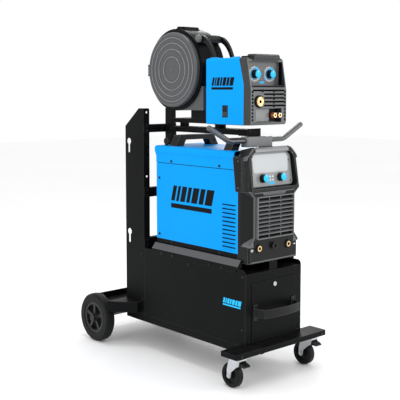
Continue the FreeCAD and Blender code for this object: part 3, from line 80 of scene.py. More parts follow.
class Finish:
    """A procedural material round one Principled shader, laid out in object space."""

    def __init__(self, name, metallic=0.0, coat=0.0, ior=1.5, specular=0.5):
        self.material = bpy.data.materials.new(name)
        self.material.use_nodes = True
        self.tree = self.material.node_tree
        self.shader = self.tree.nodes["Principled BSDF"]
        self.shader.inputs["Metallic"].default_value = metallic
        self.shader.inputs["Coat Weight"].default_value = coat
        self.shader.inputs["IOR"].default_value = ior
        self.shader.inputs["Specular IOR Level"].default_value = specular
        self.place = self.add("ShaderNodeTexCoord").outputs["Object"]
        self.height = None
        FINISH[name] = self.material

    def add(self, kind, **inputs):
        node = self.tree.nodes.new(kind)
        for name, value in inputs.items():
            self.put(node.inputs[name.replace("_", " ")], value)
        return node

    def put(self, socket, value):
        if isinstance(value, bpy.types.NodeSocket):
            self.tree.links.new(value, socket)
        elif isinstance(value, tuple) and len(value) == 3 and len(socket.default_value) == 4:
            socket.default_value = (*value, 1.0)
        else:
            socket.default_value = value

    def stretched(self, scale):
        node = self.add("ShaderNodeMapping", Vector=self.place)
        node.inputs["Scale"].default_value = scale
        return node.outputs["Vector"]

    def noise(self, scale, detail=3.0, place=None, roughness=0.5):
        node = self.add("ShaderNodeTexNoise", Vector=place or self.place, Scale=scale,
                        Detail=detail, Roughness=roughness)
        return node.outputs["Fac"]

    def remap(self, value, from_low, from_high, to_low, to_high):
        node = self.add("ShaderNodeMapRange", Value=value)
        for name, number in (("From Min", from_low), ("From Max", from_high),
                             ("To Min", to_low), ("To Max", to_high)):
            node.inputs[name].default_value = number
        return node.outputs["Result"]

    def math(self, operation, a, b):
        node = self.add("ShaderNodeMath")
        node.operation = operation
        self.put(node.inputs[0], a)
        self.put(node.inputs[1], b)
        return node.outputs["Value"]

    def mix(self, factor, first, second):
        node = self.tree.nodes.new("ShaderNodeMix")
        node.data_type = "RGBA"
        self.put(node.inputs["Factor"], factor)
        self.put(node.inputs[6], first)
        self.put(node.inputs[7], second)
        return node.outputs[2]

    def colour(self, value):
        self.put(self.shader.inputs["Base Color"], value)

    def rough(self, value):
        self.put(self.shader.inputs["Roughness"], value)

    def bump(self, value, strength, distance):
        node = self.add("ShaderNodeBump", Height=value, Strength=strength, Distance=distance)
        if self.height is not None:
            self.put(node.inputs["Normal"], self.height)
        self.height = node.outputs["Normal"]
        self.put(self.shader.inputs["Normal"], self.height)

    def edges(self, reach=1.6 * MM):
        """1 along edges, 0 on flats: how far the surface turns within a short reach."""
        turned = self.add("ShaderNodeBevel", Radius=reach)
        turned.samples = 4
        node = self.add("ShaderNodeVectorMath")
        node.operation = "DOT_PRODUCT"
        self.put(node.inputs[0], turned.outputs["Normal"])
        self.put(node.inputs[1], self.add("ShaderNodeNewGeometry").outputs["True Normal"])
        return self.remap(node.outputs["Value"], 0.99, 0.85, 0.0, 1.0)

    def outer_corner(self):
        """1 where a corner stands out, nearly 0 where two faces meet inwards."""
        pointed = self.add("ShaderNodeNewGeometry").outputs["Pointiness"]
        return self.remap(pointed, 0.49, 0.53, 0.1, 1.0)

    def facing_up(self):
        """1 on faces that look up, where dust lies."""
        normal = self.add("ShaderNodeNewGeometry").outputs["Normal"]
        split = self.add("ShaderNodeSeparateXYZ", Vector=normal)
        return self.remap(split.outputs["Z"], 0.6, 1.0, 0.0, 1.0)


def shaded(colour, factor):
    return tuple(min(channel * factor, 1.0) for channel in colour)


def grey(value):
    return (value, value, value)


def coated(name, colour, rough, grain, grain_strength, spread=0.12, worn=None, dust=0.0, rim=None,
           **shader):
    """Paint or moulded plastic: cloudy and grained, worn at its edges, dusty on top, with a painted edge highlight
    (rim).
    """
    finish = Finish(name, **shader)
    cloud = finish.remap(finish.noise(5.0, 4.0), 0.3, 0.7, 0.0, 1.0)
    tint = finish.mix(cloud, shaded(colour, 1 - spread), shaded(colour, 1 + spread))
    speckle = finish.noise(grain, 2.0)
    tint = finish.mix(finish.remap(speckle, 0.4, 0.7, 0.0, 0.3), tint, shaded(colour, 1 + 3 * spread))
    # Rim: a paler grey along outer edges, a painted highlight where rounded edges would catch the light.
    if rim:
        reach, shade = rim
        edge_highlight_mask = finish.math("MULTIPLY", finish.edges(reach * MM), finish.outer_corner())
        tint = finish.mix(finish.math("MULTIPLY", edge_highlight_mask, 0.85), tint, (shade, shade * 1.02, shade * 1.04))
    # Lighter colour in patches along edges: wear; on the blue sheet the lighter blue is a painted highlight.
    if worn:
        patches = finish.remap(finish.noise(60.0, 5.0), 0.5, 0.72, 0.0, 0.8)
        tint = finish.mix(finish.math("MULTIPLY", finish.edges(), patches), tint, worn)
    if dust:
        patches = finish.remap(finish.noise(25.0, 5.0), 0.4, 0.75, 0.0, dust)
        tint = finish.mix(finish.math("MULTIPLY", finish.facing_up(), patches), tint, (0.5, 0.49, 0.46))
    finish.colour(tint)
    finish.rough(finish.remap(finish.noise(9.0, 4.0), 0.3, 0.7, rough - 0.03, rough + 0.04))
    finish.bump(finish.noise(4.0, 2.0), 0.08, 0.0006)
    finish.bump(speckle, grain_strength, 0.0003)


def metal(name, colour, rough, brushed=(1.0, 1.0, 30.0), worn=(0.2, 0.19, 0.18)):
    """Plated or machined metal with fine tool lines and dulled patches."""
    finish = Finish(name, metallic=1.0)
    lines = finish.noise(55.0, 4.0, finish.stretched(brushed))
    patches = finish.noise(14.0, 5.0)
    tint = finish.mix(finish.remap(lines, 0.3, 0.7, 0.0, 1.0), shaded(colour, 0.82), shaded(colour, 1.08))
    tint = finish.mix(finish.remap(patches, 0.55, 0.8, 0.0, 0.4), tint, worn)
    finish.colour(tint)
    finish.rough(finish.math("ADD", finish.remap(lines, 0.3, 0.7, rough - 0.05, rough + 0.05),
                             finish.remap(patches, 0.4, 0.8, 0.0, 0.12)))
    finish.bump(lines, 0.12, 0.0003)


def rubber(name, colour, rough):
    """Tyre rubber: dull, greyer where it is scuffed, with a fine skin."""
    finish = Finish(name, specular=0.16)
    scuff = finish.noise(45.0, 6.0)
    skin = finish.noise(700.0, 2.0)
    tint = finish.mix(finish.remap(scuff, 0.48, 0.75, 0.0, 0.6), colour, shaded(colour, 2.4))
    finish.colour(tint)
    finish.rough(finish.remap(scuff, 0.3, 0.7, rough - 0.06, rough + 0.1))
    finish.bump(scuff, 0.1, 0.0008)
    finish.bump(skin, 0.25, 0.0003)


def wound_wire(name, colour):
    """Copper-coated wire, slightly darker in patches."""
    finish = Finish(name, metallic=1.0)
    patches = finish.noise(30.0, 5.0)
    fine = finish.noise(900.0, 2.0, finish.stretched((1.0, 0.1, 0.1)))
    finish.colour(finish.mix(finish.remap(patches, 0.35, 0.7, 0.0, 1.0), colour, shaded(colour, 0.6)))
    finish.rough(finish.remap(fine, 0.3, 0.7, 0.22, 0.42))
    finish.bump(fine, 0.2, 0.0003)


def display_glass(name):
    """Pale display cover: a faint cloudy grey tint and a few smears."""
    finish = Finish(name, coat=0.15)
    cloud = finish.remap(finish.noise(3.0, 2.0), 0.3, 0.7, 0.0, 1.0)
    smear = finish.noise(70.0, 6.0)
    finish.colour(finish.mix(cloud, (0.47, 0.495, 0.505), (0.53, 0.555, 0.565)))
    finish.rough(finish.remap(smear, 0.3, 0.7, 0.3, 0.33))


def sheet_finishes():
    """Painted sheet and tube. Grain is in cycles a metre; a rim, a painted edge highlight, is its reach in mm and
    its grey.
    """
    coated("powder_black", (0.0034, 0.0037, 0.004), 0.42, 1300.0, 0.3, worn=grey(0.07), dust=0.02,
           rim=(1.7, 0.06), specular=0.07)
    # The lighter blue given as worn is a painted highlight along the sheet's edges.
    coated("sheet_blue", (0.0, 0.31, 0.81), 0.36, 700.0, 0.08, spread=0.02, worn=(0.05, 0.5, 1.0),
           specular=0.06)
    coated("handle_satin", (0.18, 0.182, 0.186), 0.34, 900.0, 0.15, worn=grey(0.3), dust=0.05)
    coated("tube_satin", (0.045, 0.046, 0.048), 0.26, 900.0, 0.1, worn=grey(0.3), specular=0.9)


def plastic_finishes():
    """Moulded parts, from the blackest to the palest."""
    coated("drum_black", (0.0035, 0.0038, 0.0044), 0.36, 1500.0, 0.2, worn=grey(0.05), dust=0.02,
           specular=0.08)
    coated("handle_black", (0.004, 0.0043, 0.0047), 0.34, 1700.0, 0.2, worn=grey(0.08),
           rim=(2.8, 0.15), specular=0.2)
    coated("bezel_black", (0.0045, 0.0049, 0.0053), 0.34, 1700.0, 0.2, worn=grey(0.12),
           rim=(3.2, 0.15), specular=0.2)
    coated("knob_black", (0.006, 0.006, 0.007), 0.36, 1900.0, 0.2, specular=0.3)
    coated("wheel_plastic", (0.012, 0.0125, 0.0135), 0.36, 1500.0, 0.2, worn=grey(0.06), dust=0.03,
           specular=0.25)
    coated("feeder_grey", (0.022, 0.023, 0.0245), 0.38, 1700.0, 0.25, worn=grey(0.15),
           rim=(2.6, 0.17), specular=0.4)
    coated("lid_grey", (0.06, 0.063, 0.066), 0.36, 1500.0, 0.2, spread=0.05, worn=grey(0.2),
           rim=(2.4, 0.26), specular=0.5)
    coated("face_grey", (0.095, 0.098, 0.101), 0.36, 1700.0, 0.2, worn=grey(0.4))
    coated("grille_grey", (0.115, 0.119, 0.123), 0.42, 1700.0, 0.25, worn=grey(0.25), specular=0.4)
    coated("plate_grey", (0.22, 0.225, 0.23), 0.3, 1700.0, 0.12, worn=grey(0.4))
    coated("panel_light", (0.25, 0.262, 0.268), 0.32, 1200.0, 0.1, spread=0.04)
    display_glass("screen")


def metal_and_rubber_finishes():
    """Fittings, fasteners, wire and tyres."""
    metal("brass", (0.86, 0.6, 0.3), 0.24, worn=(0.35, 0.2, 0.08))
    metal("zinc", (0.62, 0.64, 0.66), 0.3, worn=(0.32, 0.32, 0.31))
    metal("bolt_steel", (0.16, 0.165, 0.17), 0.34, worn=(0.06, 0.055, 0.05))
    metal("electronics", (0.62, 0.63, 0.64), 0.38, brushed=(1.0, 30.0, 1.0))
    wound_wire("copper_wire", (0.8, 0.42, 0.24))
    coated("bolt_black", (0.006, 0.006, 0.0065), 0.26, 900.0, 0.1, worn=grey(0.2), specular=0.25)
    rubber("tyre_rubber", (0.0045, 0.0048, 0.0052), 0.52)
    rubber("caster_rubber", (0.006, 0.0063, 0.0067), 0.46)


def mark_finishes():
    """Printed marks, coloured rings and the painted shade behind openings."""
    coated("accent_cyan", (0.0, 0.5, 0.95), 0.34, 900.0, 0.06, spread=0.02, specular=0.3)
    coated("mark_black", (0.003, 0.003, 0.004), 0.4, 900.0, 0.08, specular=0.08)
    coated("mark_white", (0.8, 0.81, 0.82), 0.4, 900.0, 0.08, spread=0.04)
    coated("ring_red", (0.35, 0.03, 0.01), 0.35, 900.0, 0.1)
    coated("ring_blue", (0.01, 0.06, 0.35), 0.35, 900.0, 0.1)
    # Near-black for the shade inside holes, bores and slots: painted shade.
    coated("painted_shade_in_openings", grey(0.002), 0.6, 900.0, 0.1, specular=0.1)


# ---- building pieces -------------------------------------------------------------------
class Spot:
    """A flat working frame: u to the right, v up and w outwards, from an origin."""

    def __init__(self, origin, right, up):
        self.origin = Vector(origin)
        self.right = Vector(right).normalized()
        self.up = Vector(up).normalized()
        self.out = self.right.cross(self.up)

    def at(self, u, v, w=0.0):
        return self.origin + self.right * u + self.up * v + self.out * w


def left_side(x, y=0.0, z=0.0):
    return Spot((x, y, z), (0, -1, 0), (0, 0, 1))


def right_side(x, y=0.0, z=0.0):
    return Spot((x, y, z), (0, 1, 0), (0, 0, 1))


def depth(behind):
    """Y at a distance in millimetres behind the front of the cabinet."""
    return low("cabinet_panels", "Y") + behind * MM


def mm(*points):
    """Points given in millimetres."""
    return [(u * MM, v * MM) for u, v in points]


def front(y, x=0.0, z=0.0):
    return Spot((x, y, z), (1, 0, 0), (0, 0, 1))


def ray(spot, u, v, degrees):
    """A working frame at (u, v) of another, turned anticlockwise in its plane."""
    a = math.radians(degrees)
    right = spot.right * math.cos(a) + spot.up * math.sin(a)
    up = spot.up * math.cos(a) - spot.right * math.sin(a)
    return Spot(spot.at(u, v), right, up)


def upward(axis):
    """The direction up a face that looks along an axis, at right angles to X."""
    up = Vector((1, 0, 0)).cross(axis)
    return up if up.z > 0 else -up


def prism(bm, spot, outline, w0, w1):
    """A straight block over an outline of (u, v) points."""
    floor = [bm.verts.new(spot.at(u, v, w0)) for u, v in outline]
    roof = [bm.verts.new(spot.at(u, v, w1)) for u, v in outline]
    bm.faces.new(list(reversed(floor)))
    bm.faces.new(roof)
    count = len(outline)
    for i in range(count):
        j = (i + 1) % count
        bm.faces.new((floor[i], floor[j], roof[j], roof[i]))


def block(bm, spot, u0, u1, v0, v1, w0, w1):
    prism(bm, spot, [(u0, v0), (u1, v0), (u1, v1), (u0, v1)], w0, w1)


def disc(bm, spot, u, v, radius, w0, w1, steps=32):
    prism(bm, spot, arc(u, v, radius, 0, 360, steps)[:-1], w0, w1)


def arc(u, v, radius, start, end, steps):
    turn = [math.radians(start + (end - start) * i / steps) for i in range(steps + 1)]
    return [(u + radius * math.cos(a), v + radius * math.sin(a)) for a in turn]


def round_box(u0, u1, v0, v1, radius, steps=6):
    """Outline of a rectangle with round corners."""
    outline = []
    for u, v, start in ((u1 - radius, v1 - radius, 0), (u0 + radius, v1 - radius, 90),
                        (u0 + radius, v0 + radius, 180), (u1 - radius, v0 + radius, 270)):
        outline += arc(u, v, radius, start, start + 90, steps)
    return outline


def band(bm, spot, u, v, inner, outer, start, end, w0, w1, steps=40):
    """A flat ring, or part of one."""
    if end - start >= 360:
        lathe(bm, spot, u, v, [(w0, inner), (w0, outer), (w1, outer), (w1, inner)], steps, closed=True)
    else:
        outline = arc(u, v, outer, start, end, steps) + list(reversed(arc(u, v, inner, start, end, steps)))
        prism(bm, spot, outline, w0, w1)


def lathe(bm, spot, u, v, profile, steps=48, closed=False):
    """Turns (w, radius) points about the outward axis through (u, v)."""
    rings = []
    for i in range(steps):
        a = 2 * math.pi * i / steps
        rings.append([bm.verts.new(spot.at(u + r * math.cos(a), v + r * math.sin(a), w))
                      for w, r in profile])
    count = len(profile)
    for i in range(steps):
        one, two = rings[i], rings[(i + 1) % steps]
        for k in range(count if closed else count - 1):
            m = (k + 1) % count
            bm.faces.new((one[k], two[k], two[m], one[m]))
    if not closed:
        bm.faces.new([r[0] for r in rings])
        bm.faces.new([r[-1] for r in reversed(rings)])


def ring_prism(bm, spot, outer, inner, w0, w1):
    """A straight-sided frame between two outlines with the same number of points."""
    rows = [[bm.verts.new(spot.at(u, v, w)) for u, v in outline]
            for outline, w in ((outer, w0), (outer, w1), (inner, w1), (inner, w0))]
    count = len(outer)
    for i in range(count):
        j = (i + 1) % count
        for a, b in ((0, 1), (1, 2), (2, 3), (3, 0)):
            bm.faces.new((rows[a][i], rows[a][j], rows[b][j], rows[b][i]))


def bar_along(bm, spot, path, width, w0, w1):
    """A flat bar of one width that follows a path of (u, v) points, with mitred corners."""
    points = [Vector((u, v)) for u, v in path]
    left, right = [], []
    for i, p in enumerate(points):
        before = (p - points[i - 1]).normalized() if i else (points[1] - p).normalized()
        after = (points[i + 1] - p).normalized() if i + 1 < len(points) else before
        side = Vector((-before.y - after.y, before.x + after.x)).normalized()
        reach = width / 2 / max(side.dot(Vector((-before.y, before.x))), 0.3)
        left.append(p + side * reach)
        right.append(p - side * reach)
    prism(bm, spot, [tuple(p) for p in left + right[::-1]], w0, w1)


def mirrored(path):
    return [(-u, v) for u, v in path]


def applied(obj):
    """Makes an object's modifiers part of its mesh."""
    bpy.context.view_layer.update()
    old = obj.data
    obj.data = bpy.data.meshes.new_from_object(obj.evaluated_get(bpy.context.evaluated_depsgraph_get()))
    obj.data.name = obj.name
    obj.modifiers.clear()
    bpy.data.meshes.remove(old)


def finished(obj, bevel, segments, sharp):
    """Rounds the edges of a piece for good, smooths it, and keeps its wide faces flat."""
    if bevel:
        modifier = obj.modifiers.new("edges", "BEVEL")
        modifier.width = bevel
        modifier.segments = segments
        modifier.limit_method = "ANGLE"
        modifier.angle_limit = math.radians(32)
        modifier.use_clamp_overlap = True
        applied(obj)
    obj.data.shade_smooth()
    obj.data.set_sharp_from_angle(angle=math.radians(sharp))
    modifier = obj.modifiers.new("flats", "WEIGHTED_NORMAL")
    modifier.keep_sharp = True
    modifier.weight = 100
    applied(obj)


def piece(name, bm, body, finish, bevel=0.0, segments=2, sharp=35, replaces=()):
    """A new object from a mesh under construction, riding on a body."""
    bmesh.ops.recalc_face_normals(bm, faces=bm.faces)
    mesh = bpy.data.meshes.new(name)
    bm.to_mesh(mesh)
    bm.free()
    obj = bpy.data.objects.new(name, mesh)
    bpy.context.scene.collection.objects.link(obj)
    mesh.materials.append(FINISH[finish])
    finished(obj, bevel, segments, sharp)
    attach(obj, body)
    if replaces:
        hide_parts(*replaces)
    return obj


def softened(node, width, segments=2, finishes=None, choose=None, sharp=35):
    """A CAD node's shape with rounded edges. choose(centre, normal) gives the finish of a face."""
    bm = bmesh.new()
    bm.from_mesh(frame["nodes"][node].data)
    bmesh.ops.remove_doubles(bm, verts=bm.verts, dist=0.002 * MM)
    bmesh.ops.dissolve_limit(bm, angle_limit=math.radians(0.6), verts=bm.verts, edges=bm.edges)
    mesh = bpy.data.meshes.new(node + "_finished")
    bm.to_mesh(mesh)
    bm.free()
    for name in ("custom_normal", "sharp_edge", "sharp_face"):
        if name in mesh.attributes:
            mesh.attributes.remove(mesh.attributes[name])
    obj = bpy.data.objects.new(node + "_finished", mesh)
    bpy.context.scene.collection.objects.link(obj)
    mesh.materials.clear()
    for finish in finishes or [SLOT_OF[node]]:
        mesh.materials.append(FINISH[finish])
    finished(obj, width, segments, sharp)
    if choose:
        for face in obj.data.polygons:
            face.material_index = choose(face.center, face.normal)
    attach(obj, BODY_OF[node])
    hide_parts(node)
    return obj


def screw_heads(name, spot, places, radius):
    """Round heads with a hexagon socket."""
    bm = bmesh.new()
    for u, v in places:
        lathe(bm, spot, u, v, [(-0.4 * MM, radius), (0.5 * radius, radius), (0.75 * radius, 0.75 * radius),
                               (0.75 * radius, 0.5 * radius), (0.2 * radius, 0.46 * radius)], 24)
    piece(name, bm, "trolley", "bolt_steel")


# ---- carried-over CAD nodes ------------------------------------------------------------
OTHER_FINISH = {"trolley_bolts": "bolt_black", "ps_fasteners": "bolt_black", "rear_axle": "bolt_steel",
                "push_handle": "tube_satin"}


def dress_nodes():
    """Gives every CAD node its finish."""
    for name, obj in frame["nodes"].items():
        obj.data.materials.clear()
        obj.data.materials.append(FINISH[OTHER_FINISH.get(name, SLOT_OF[name])])


SOFT_EDGES = {
    "base_pan": 1.0, "front_beam": 1.4, "cabinet_panels": 0.7, "front_frame": 0.6,
    "left_upright": 0.8, "centre_frame": 0.9, "top_beam": 0.9, "handle_box": 1.2, "axle_wings": 0.9,
    "bottle_platform": 1.0, "caster_plates": 0.7, "drawer_slides": 0.6, "drawer_tray": 0.5,
    "drawer_handle": 1.6, "caster_fork_left": 0.7, "caster_fork_right": 0.7, "brake_pedal_left": 1.2,
    "brake_pedal_right": 1.2, "rim_left": 1.0, "rim_right": 1.0, "ps_base": 0.6, "ps_rear_panel": 0.5,
    "ps_switch": 0.8, "feeder_connectors": 0.7, "ps_sockets": 0.7,
    "door_latch": 0.6, "spool_housing": 1.2, "wire_drive": 0.8,
    "pressure_arm": 0.8, "ps_inverter": 0.5, "drawer_front": 1.3,
}


def soften_nodes():
    """Rounded edges on most parts. The seat rails get a paler grey on their sloping faces, painted light from
    above, and the spool gets two finishes.
    """
    for node, width in SOFT_EDGES.items():
        softened(node, width * MM)

    # Sloping outward faces of the seat rails take the paler lid grey: painted light from above.
    def painted_lit_slope(centre, normal):
        return 1 if 0.25 < normal.z < 0.97 and abs(normal.x) > 0.25 else 0

    softened("seat_rails", 0.8 * MM, finishes=["powder_black", "lid_grey"], choose=painted_lit_slope)
    spool_start, spool_end = BOX["wire_spool"]
    flange = 4.4 * MM

    def spool_part(centre, normal):
        wound = spool_start.x + flange < centre.x < spool_end.x - flange
        return 0 if wound and not abs(normal.x) > 0.5 else 1

    softened("wire_spool", 0.6 * MM, finishes=["copper_wire", "wheel_plastic"], choose=spool_part)


def brace_foot():
    """Closing strip between the cabinet top and the lowest brace behind it."""
    spot = front(low("centre_frame", "Y") + 1.5 * MM)
    bottom = low("seat_rails", "Z")
    bm = bmesh.new()
    block(bm, spot, -150 * MM, 20 * MM, bottom, bottom + 24 * MM, -1.2 * MM, 0)
    for u in (-110 * MM, -40 * MM):
        disc(bm, spot, u, bottom + 10 * MM, 4 * MM, 0, 1.2 * MM, 20)
    piece("brace_foot", bm, "trolley", "powder_black", bevel=0.4 * MM)


# ---- marks -----------------------------------------------------------------------------
def slanted_bars(name, spot, width, height, body, finish):
    """A plain emblem: a row of slanted bars of growing width over a thin rule."""
    bm = bmesh.new()
    lift = 0.35 * MM
    lean = 0.18 * height
    gap = 0.035 * width
    shares = (0.10, 0.07, 0.13, 0.09, 0.16, 0.12, 0.19)
    unit = (width - gap * (len(shares) - 1) - lean) / sum(shares)
    base = 0.32 * height
    u = 0.0
    for share in shares:
        w = share * unit
        bar = [(u, base), (u + w, base), (u + w + lean, height), (u + lean, height)]
        prism(bm, spot, bar, 0, lift)
        u += w + gap
    block(bm, spot, 0, width - lean, 0, 0.2 * height, 0, lift)
    piece(name, bm, body, finish)


def side_marks():
    """Emblems on both sides of the power source, on the feeder's door and on the cabinet."""
    skin = 0.05 * MM
    source = BOX["ps_covers"]
    foot = source[1].z - 266 * MM
    for name, spot in (("left", left_side(source[0].x + LAP - skin, source[0].y + 417 * MM, foot)),
                       ("right", right_side(source[1].x - LAP + skin, source[0].y + 137 * MM, foot))):
        slanted_bars("source_emblem_" + name, spot, 280 * MM, 98 * MM, "trolley", "mark_black")
    door = BOX["feeder_door"]
    spot = left_side(door[0].x - skin, door[0].y + 189 * MM, door[1].z - 133 * MM)
    slanted_bars("feeder_emblem", spot, 137 * MM, 50 * MM, "feeder_left_door", "mark_black")
    spot = left_side(low("cabinet_panels", "X") - skin, depth(128), 304 * MM)
    slanted_bars("cabinet_emblem", spot, 108 * MM, 31 * MM, "trolley", "accent_cyan")


# ---- power source ----------------------------------------------------------------------
def hood(bm, spot, foot):
    """One pressed hood: a thin closed shell that swells out of the side above its foot."""
    half, tall, bulge, wall = 39.0 * MM, 10.5 * MM, 4.2 * MM, 1.2 * MM
    sink = 0.2 * MM
    across, up = 28, 8
    outer = []
    for row in range(up + 1):
        t = row / up
        line = []
        for col in range(across + 1):
            s = 2 * col / across - 1
            end = (1 - abs(s) ** 6) ** 0.5
            rise = math.sin(min(t * 1.12, 1.0) * math.pi / 2) ** 1.4 * end
            line.append(bm.verts.new(spot.at(s * half, foot + tall * t, bulge * rise - sink)))
        outer.append(line)
    inner = [[bm.verts.new(v.co - spot.out * wall) for v in line] for line in outer]
    for layer, order in ((outer, 1), (inner, -1)):
        for row in range(up):
            for col in range(across):
                quad = [layer[row][col], layer[row][col + 1], layer[row + 1][col + 1], layer[row + 1][col]]
                bm.faces.new(quad[::order])
    loop = ([(0, c) for c in range(across)] + [(r, across) for r in range(up)]
            + [(up, c) for c in range(across, 0, -1)] + [(r, 0) for r in range(up, 0, -1)])
    for (r0, c0), (r1, c1) in zip(loop, loop[1:] + loop[:1]):
        bm.faces.new((outer[r0][c0], outer[r1][c1], inner[r1][c1], inner[r0][c0]))


def louvres():
    """Pressed hoods below each side slot."""
    count, pitch, tall = 11, 17.2 * MM, 10.5 * MM
    base = low("ps_covers", "Z") + 19 * MM
    y = low("ps_covers", "Y") + 52 * MM
    for name, spot in (("left", left_side(low("ps_covers", "X") + LAP, y, base)),
                       ("right", right_side(high("ps_covers", "X") - LAP, y, base))):
        bm = bmesh.new()
        for i in range(count):
            hood(bm, spot, i * pitch - tall)
        piece("source_louvres_" + name, bm, "trolley", "sheet_blue", sharp=50)


def source_covers():
    """Blue covers with painted shade behind the louvres, and the seam and bead of the top cover."""
    softened("ps_covers", 0.5 * MM)
    bm = bmesh.new()
    lo, hi = BOX["ps_covers"]
    inside = 4 * MM
    # A dark sheet inside each side: painted shade seen through the louvre slots.
    for x in (lo.x + inside, hi.x - inside):
        spot = right_side(x)
        block(bm, spot, lo.y + 8 * MM, lo.y + 96 * MM, lo.z + 10 * MM, lo.z + 205 * MM, -0.4 * MM, 0.4 * MM)
    piece("source_louvre_shade", bm, "trolley", "painted_shade_in_openings")
    seam = bmesh.new()
    beads = bmesh.new()
    fold = hi.z - 73 * MM
    crease = hi.z - 31 * MM
    start, end = depth(90), hi.y - 26 * MM
    for spot, sign in ((right_side(hi.x), 1), (left_side(lo.x), -1)):
        u0, u1 = sorted((sign * start, sign * end))
        block(seam, spot, u0, u1, fold - 2.4 * MM, fold - 0.1 * MM, -0.9 * MM, -0.2 * MM)
        block(beads, spot, u0, u1, crease - 1.8 * MM, crease + 1.8 * MM, -0.3 * MM, 1.5 * MM)
    piece("source_cover_seams", seam, "trolley", "mark_black")
    piece("source_cover_beads", beads, "trolley", "sheet_blue", bevel=1.1 * MM, segments=3)


def paired_bars(name, spot, path, width, w0, w1, bevel):
    """A raised bar on the front of the power source, and its mirror image, in paler grey: a painted highlight
    along the front's edges.
    """
    bm = bmesh.new()
    for half in (path, mirrored(path)):
        bar_along(bm, spot, half, width, w0, w1)
    piece(name, bm, "trolley", "lid_grey", bevel=bevel, segments=3)


def paired_blocks(name, spot, outline, finish):
    """A filled corner of the front of the power source, and its mirror image."""
    bm = bmesh.new()
    for half in (outline, mirrored(outline)):
        prism(bm, spot, half, -42 * MM, 0.5 * MM)
    piece(name, bm, "trolley", finish, bevel=1.2 * MM)


def source_bezel():
    """Moulded front with its raised ribs, brows, shoulders, plates, sill, straps and screws; ribs, straps,
    shoulders and brow strip are paler grey as painted highlights.
    """
    softened("ps_bezel", 1.8 * MM, segments=3)
    face = front(depth(2))
    waist = mm((-141, 774), (-112, 748), (-112, 590), (-141, 556))
    # The ribs and, below, the corner straps are paler grey: painted highlights along the front's edges.
    paired_bars("source_ribs", face, waist, 6 * MM, -6 * MM, 4.5 * MM, 1.6 * MM)
    paired_blocks("source_brows", face, mm((-143, 772), (-116, 748), (-116, 772)), "feeder_grey")
    # The shoulders are paler grey: a painted highlight on their lit top faces.
    shoulder = mm((-143, 550), (-143, 556), (-117, 585), (-117, 550))
    paired_blocks("source_shoulders", face, shoulder, "face_grey")
    bm = bmesh.new()
    # The brow strip is pale grey: a painted highlight on the lit chamfer above the display.
    lip = [(depth(13.6), 927 * MM), (depth(14.9), 938.6 * MM), (depth(28), 945.4 * MM),
           (depth(28), 943 * MM), (depth(17), 937 * MM), (depth(16), 927 * MM)]
    prism(bm, right_side(-96 * MM), lip, 0, 192 * MM)
    piece("source_brow_strip", bm, "trolley", "plate_grey", bevel=0.5 * MM)
    bm = bmesh.new()
    prism(bm, face, mm((-118, 764), (118, 764), (114, 769), (-114, 769)), -2 * MM, 3 * MM)
    prism(bm, face, mm((-72, 765), (-60, 753), (60, 753), (72, 765)), -2 * MM, 2 * MM)
    piece("source_name_plate", bm, "trolley", "face_grey", bevel=0.7 * MM)
    bm = bmesh.new()
    base = low("ps_bezel", "Z")
    block(bm, face, -132 * MM, 132 * MM, base + 3 * MM, base + 7 * MM, -1 * MM, 1.4 * MM)
    piece("source_sill", bm, "trolley", "face_grey", bevel=0.6 * MM)
    strap = mm((-147, 896), (-142, 908), (-108, 941))
    paired_bars("source_corner_straps", front(depth(14)), strap, 5 * MM, -18 * MM, 1.5 * MM, 1.2 * MM)
    screw_heads("source_front_screws", front(depth(13.5)), mm((-118, 917), (118, 917)), 3.6 * MM)
    left, right = left_side(low("ps_bezel", "X")), right_side(high("ps_bezel", "X"))
    for name, spot, sign in (("left", left, -1), ("right", right, 1)):
        places = [(sign * depth(60), z * MM) for z in (786, 893)]
        screw_heads("source_ear_screws_" + name, spot, places, 4 * MM)


def weld_sockets():
    """Collars of the two weld sockets, and painted shade lining their bores."""
    face = front(depth(2))
    z = middle("ps_sockets").z
    for side, u in (("left", -85 * MM), ("right", 85 * MM)):
        bm = bmesh.new()
        collar = mm((-1, 19.2), (4.4, 19.2), (5.4, 18), (5.4, 14.5), (4.6, 12.6), (-1, 12.6))
        lathe(bm, face, u, z, collar, 48, closed=True)
        piece("weld_socket_collar_" + side, bm, "trolley", "mark_black", bevel=0.3 * MM)
        # A dark lining in each bore: painted shade.
        bm = bmesh.new()
        band(bm, face, u, z, 6.1 * MM, 6.55 * MM, 0, 360, -27 * MM, 1 * MM)
        piece("weld_socket_bore_shade_" + side, bm, "trolley", "painted_shade_in_openings")


def control_socket():
    """Knurled ring and plug face of the control socket."""
    face = front(depth(2))
    u, v = -4 * MM, 546 * MM
    bm = bmesh.new()
    ring = mm((4, 14.1), (10.5, 14.1), (12, 13), (12, 9.6), (6, 8.1), (4, 8.1))
    lathe(bm, face, u, v, ring, 48, closed=True)
    for i in range(12):
        a = math.radians(30 * i)
        disc(bm, face, u + 14 * MM * math.cos(a), v + 14 * MM * math.sin(a), 1.5 * MM, 5 * MM, 10 * MM, 12)
    lathe(bm, face, u, v, mm((-3, 7.9), (6, 6.6), (7, 5.6)), 32)
    piece("control_socket_ring", bm, "trolley", "knob_black", bevel=0.3 * MM)


def polarity_signs():
    """A plus by the left weld socket and a minus by the right one."""
    face = front(depth(2))
    bm = bmesh.new()
    for w, h in ((14, 3.2), (3.2, 14)):
        block(bm, face, (-126 - w / 2) * MM, (-126 + w / 2) * MM, (538 - h / 2) * MM, (538 + h / 2) * MM,
              -0.5 * MM, 0.5 * MM)
    block(bm, face, 118 * MM, 129 * MM, 536.4 * MM, 539.6 * MM, -0.5 * MM, 0.5 * MM)
    piece("polarity_signs", bm, "trolley", "mark_white")


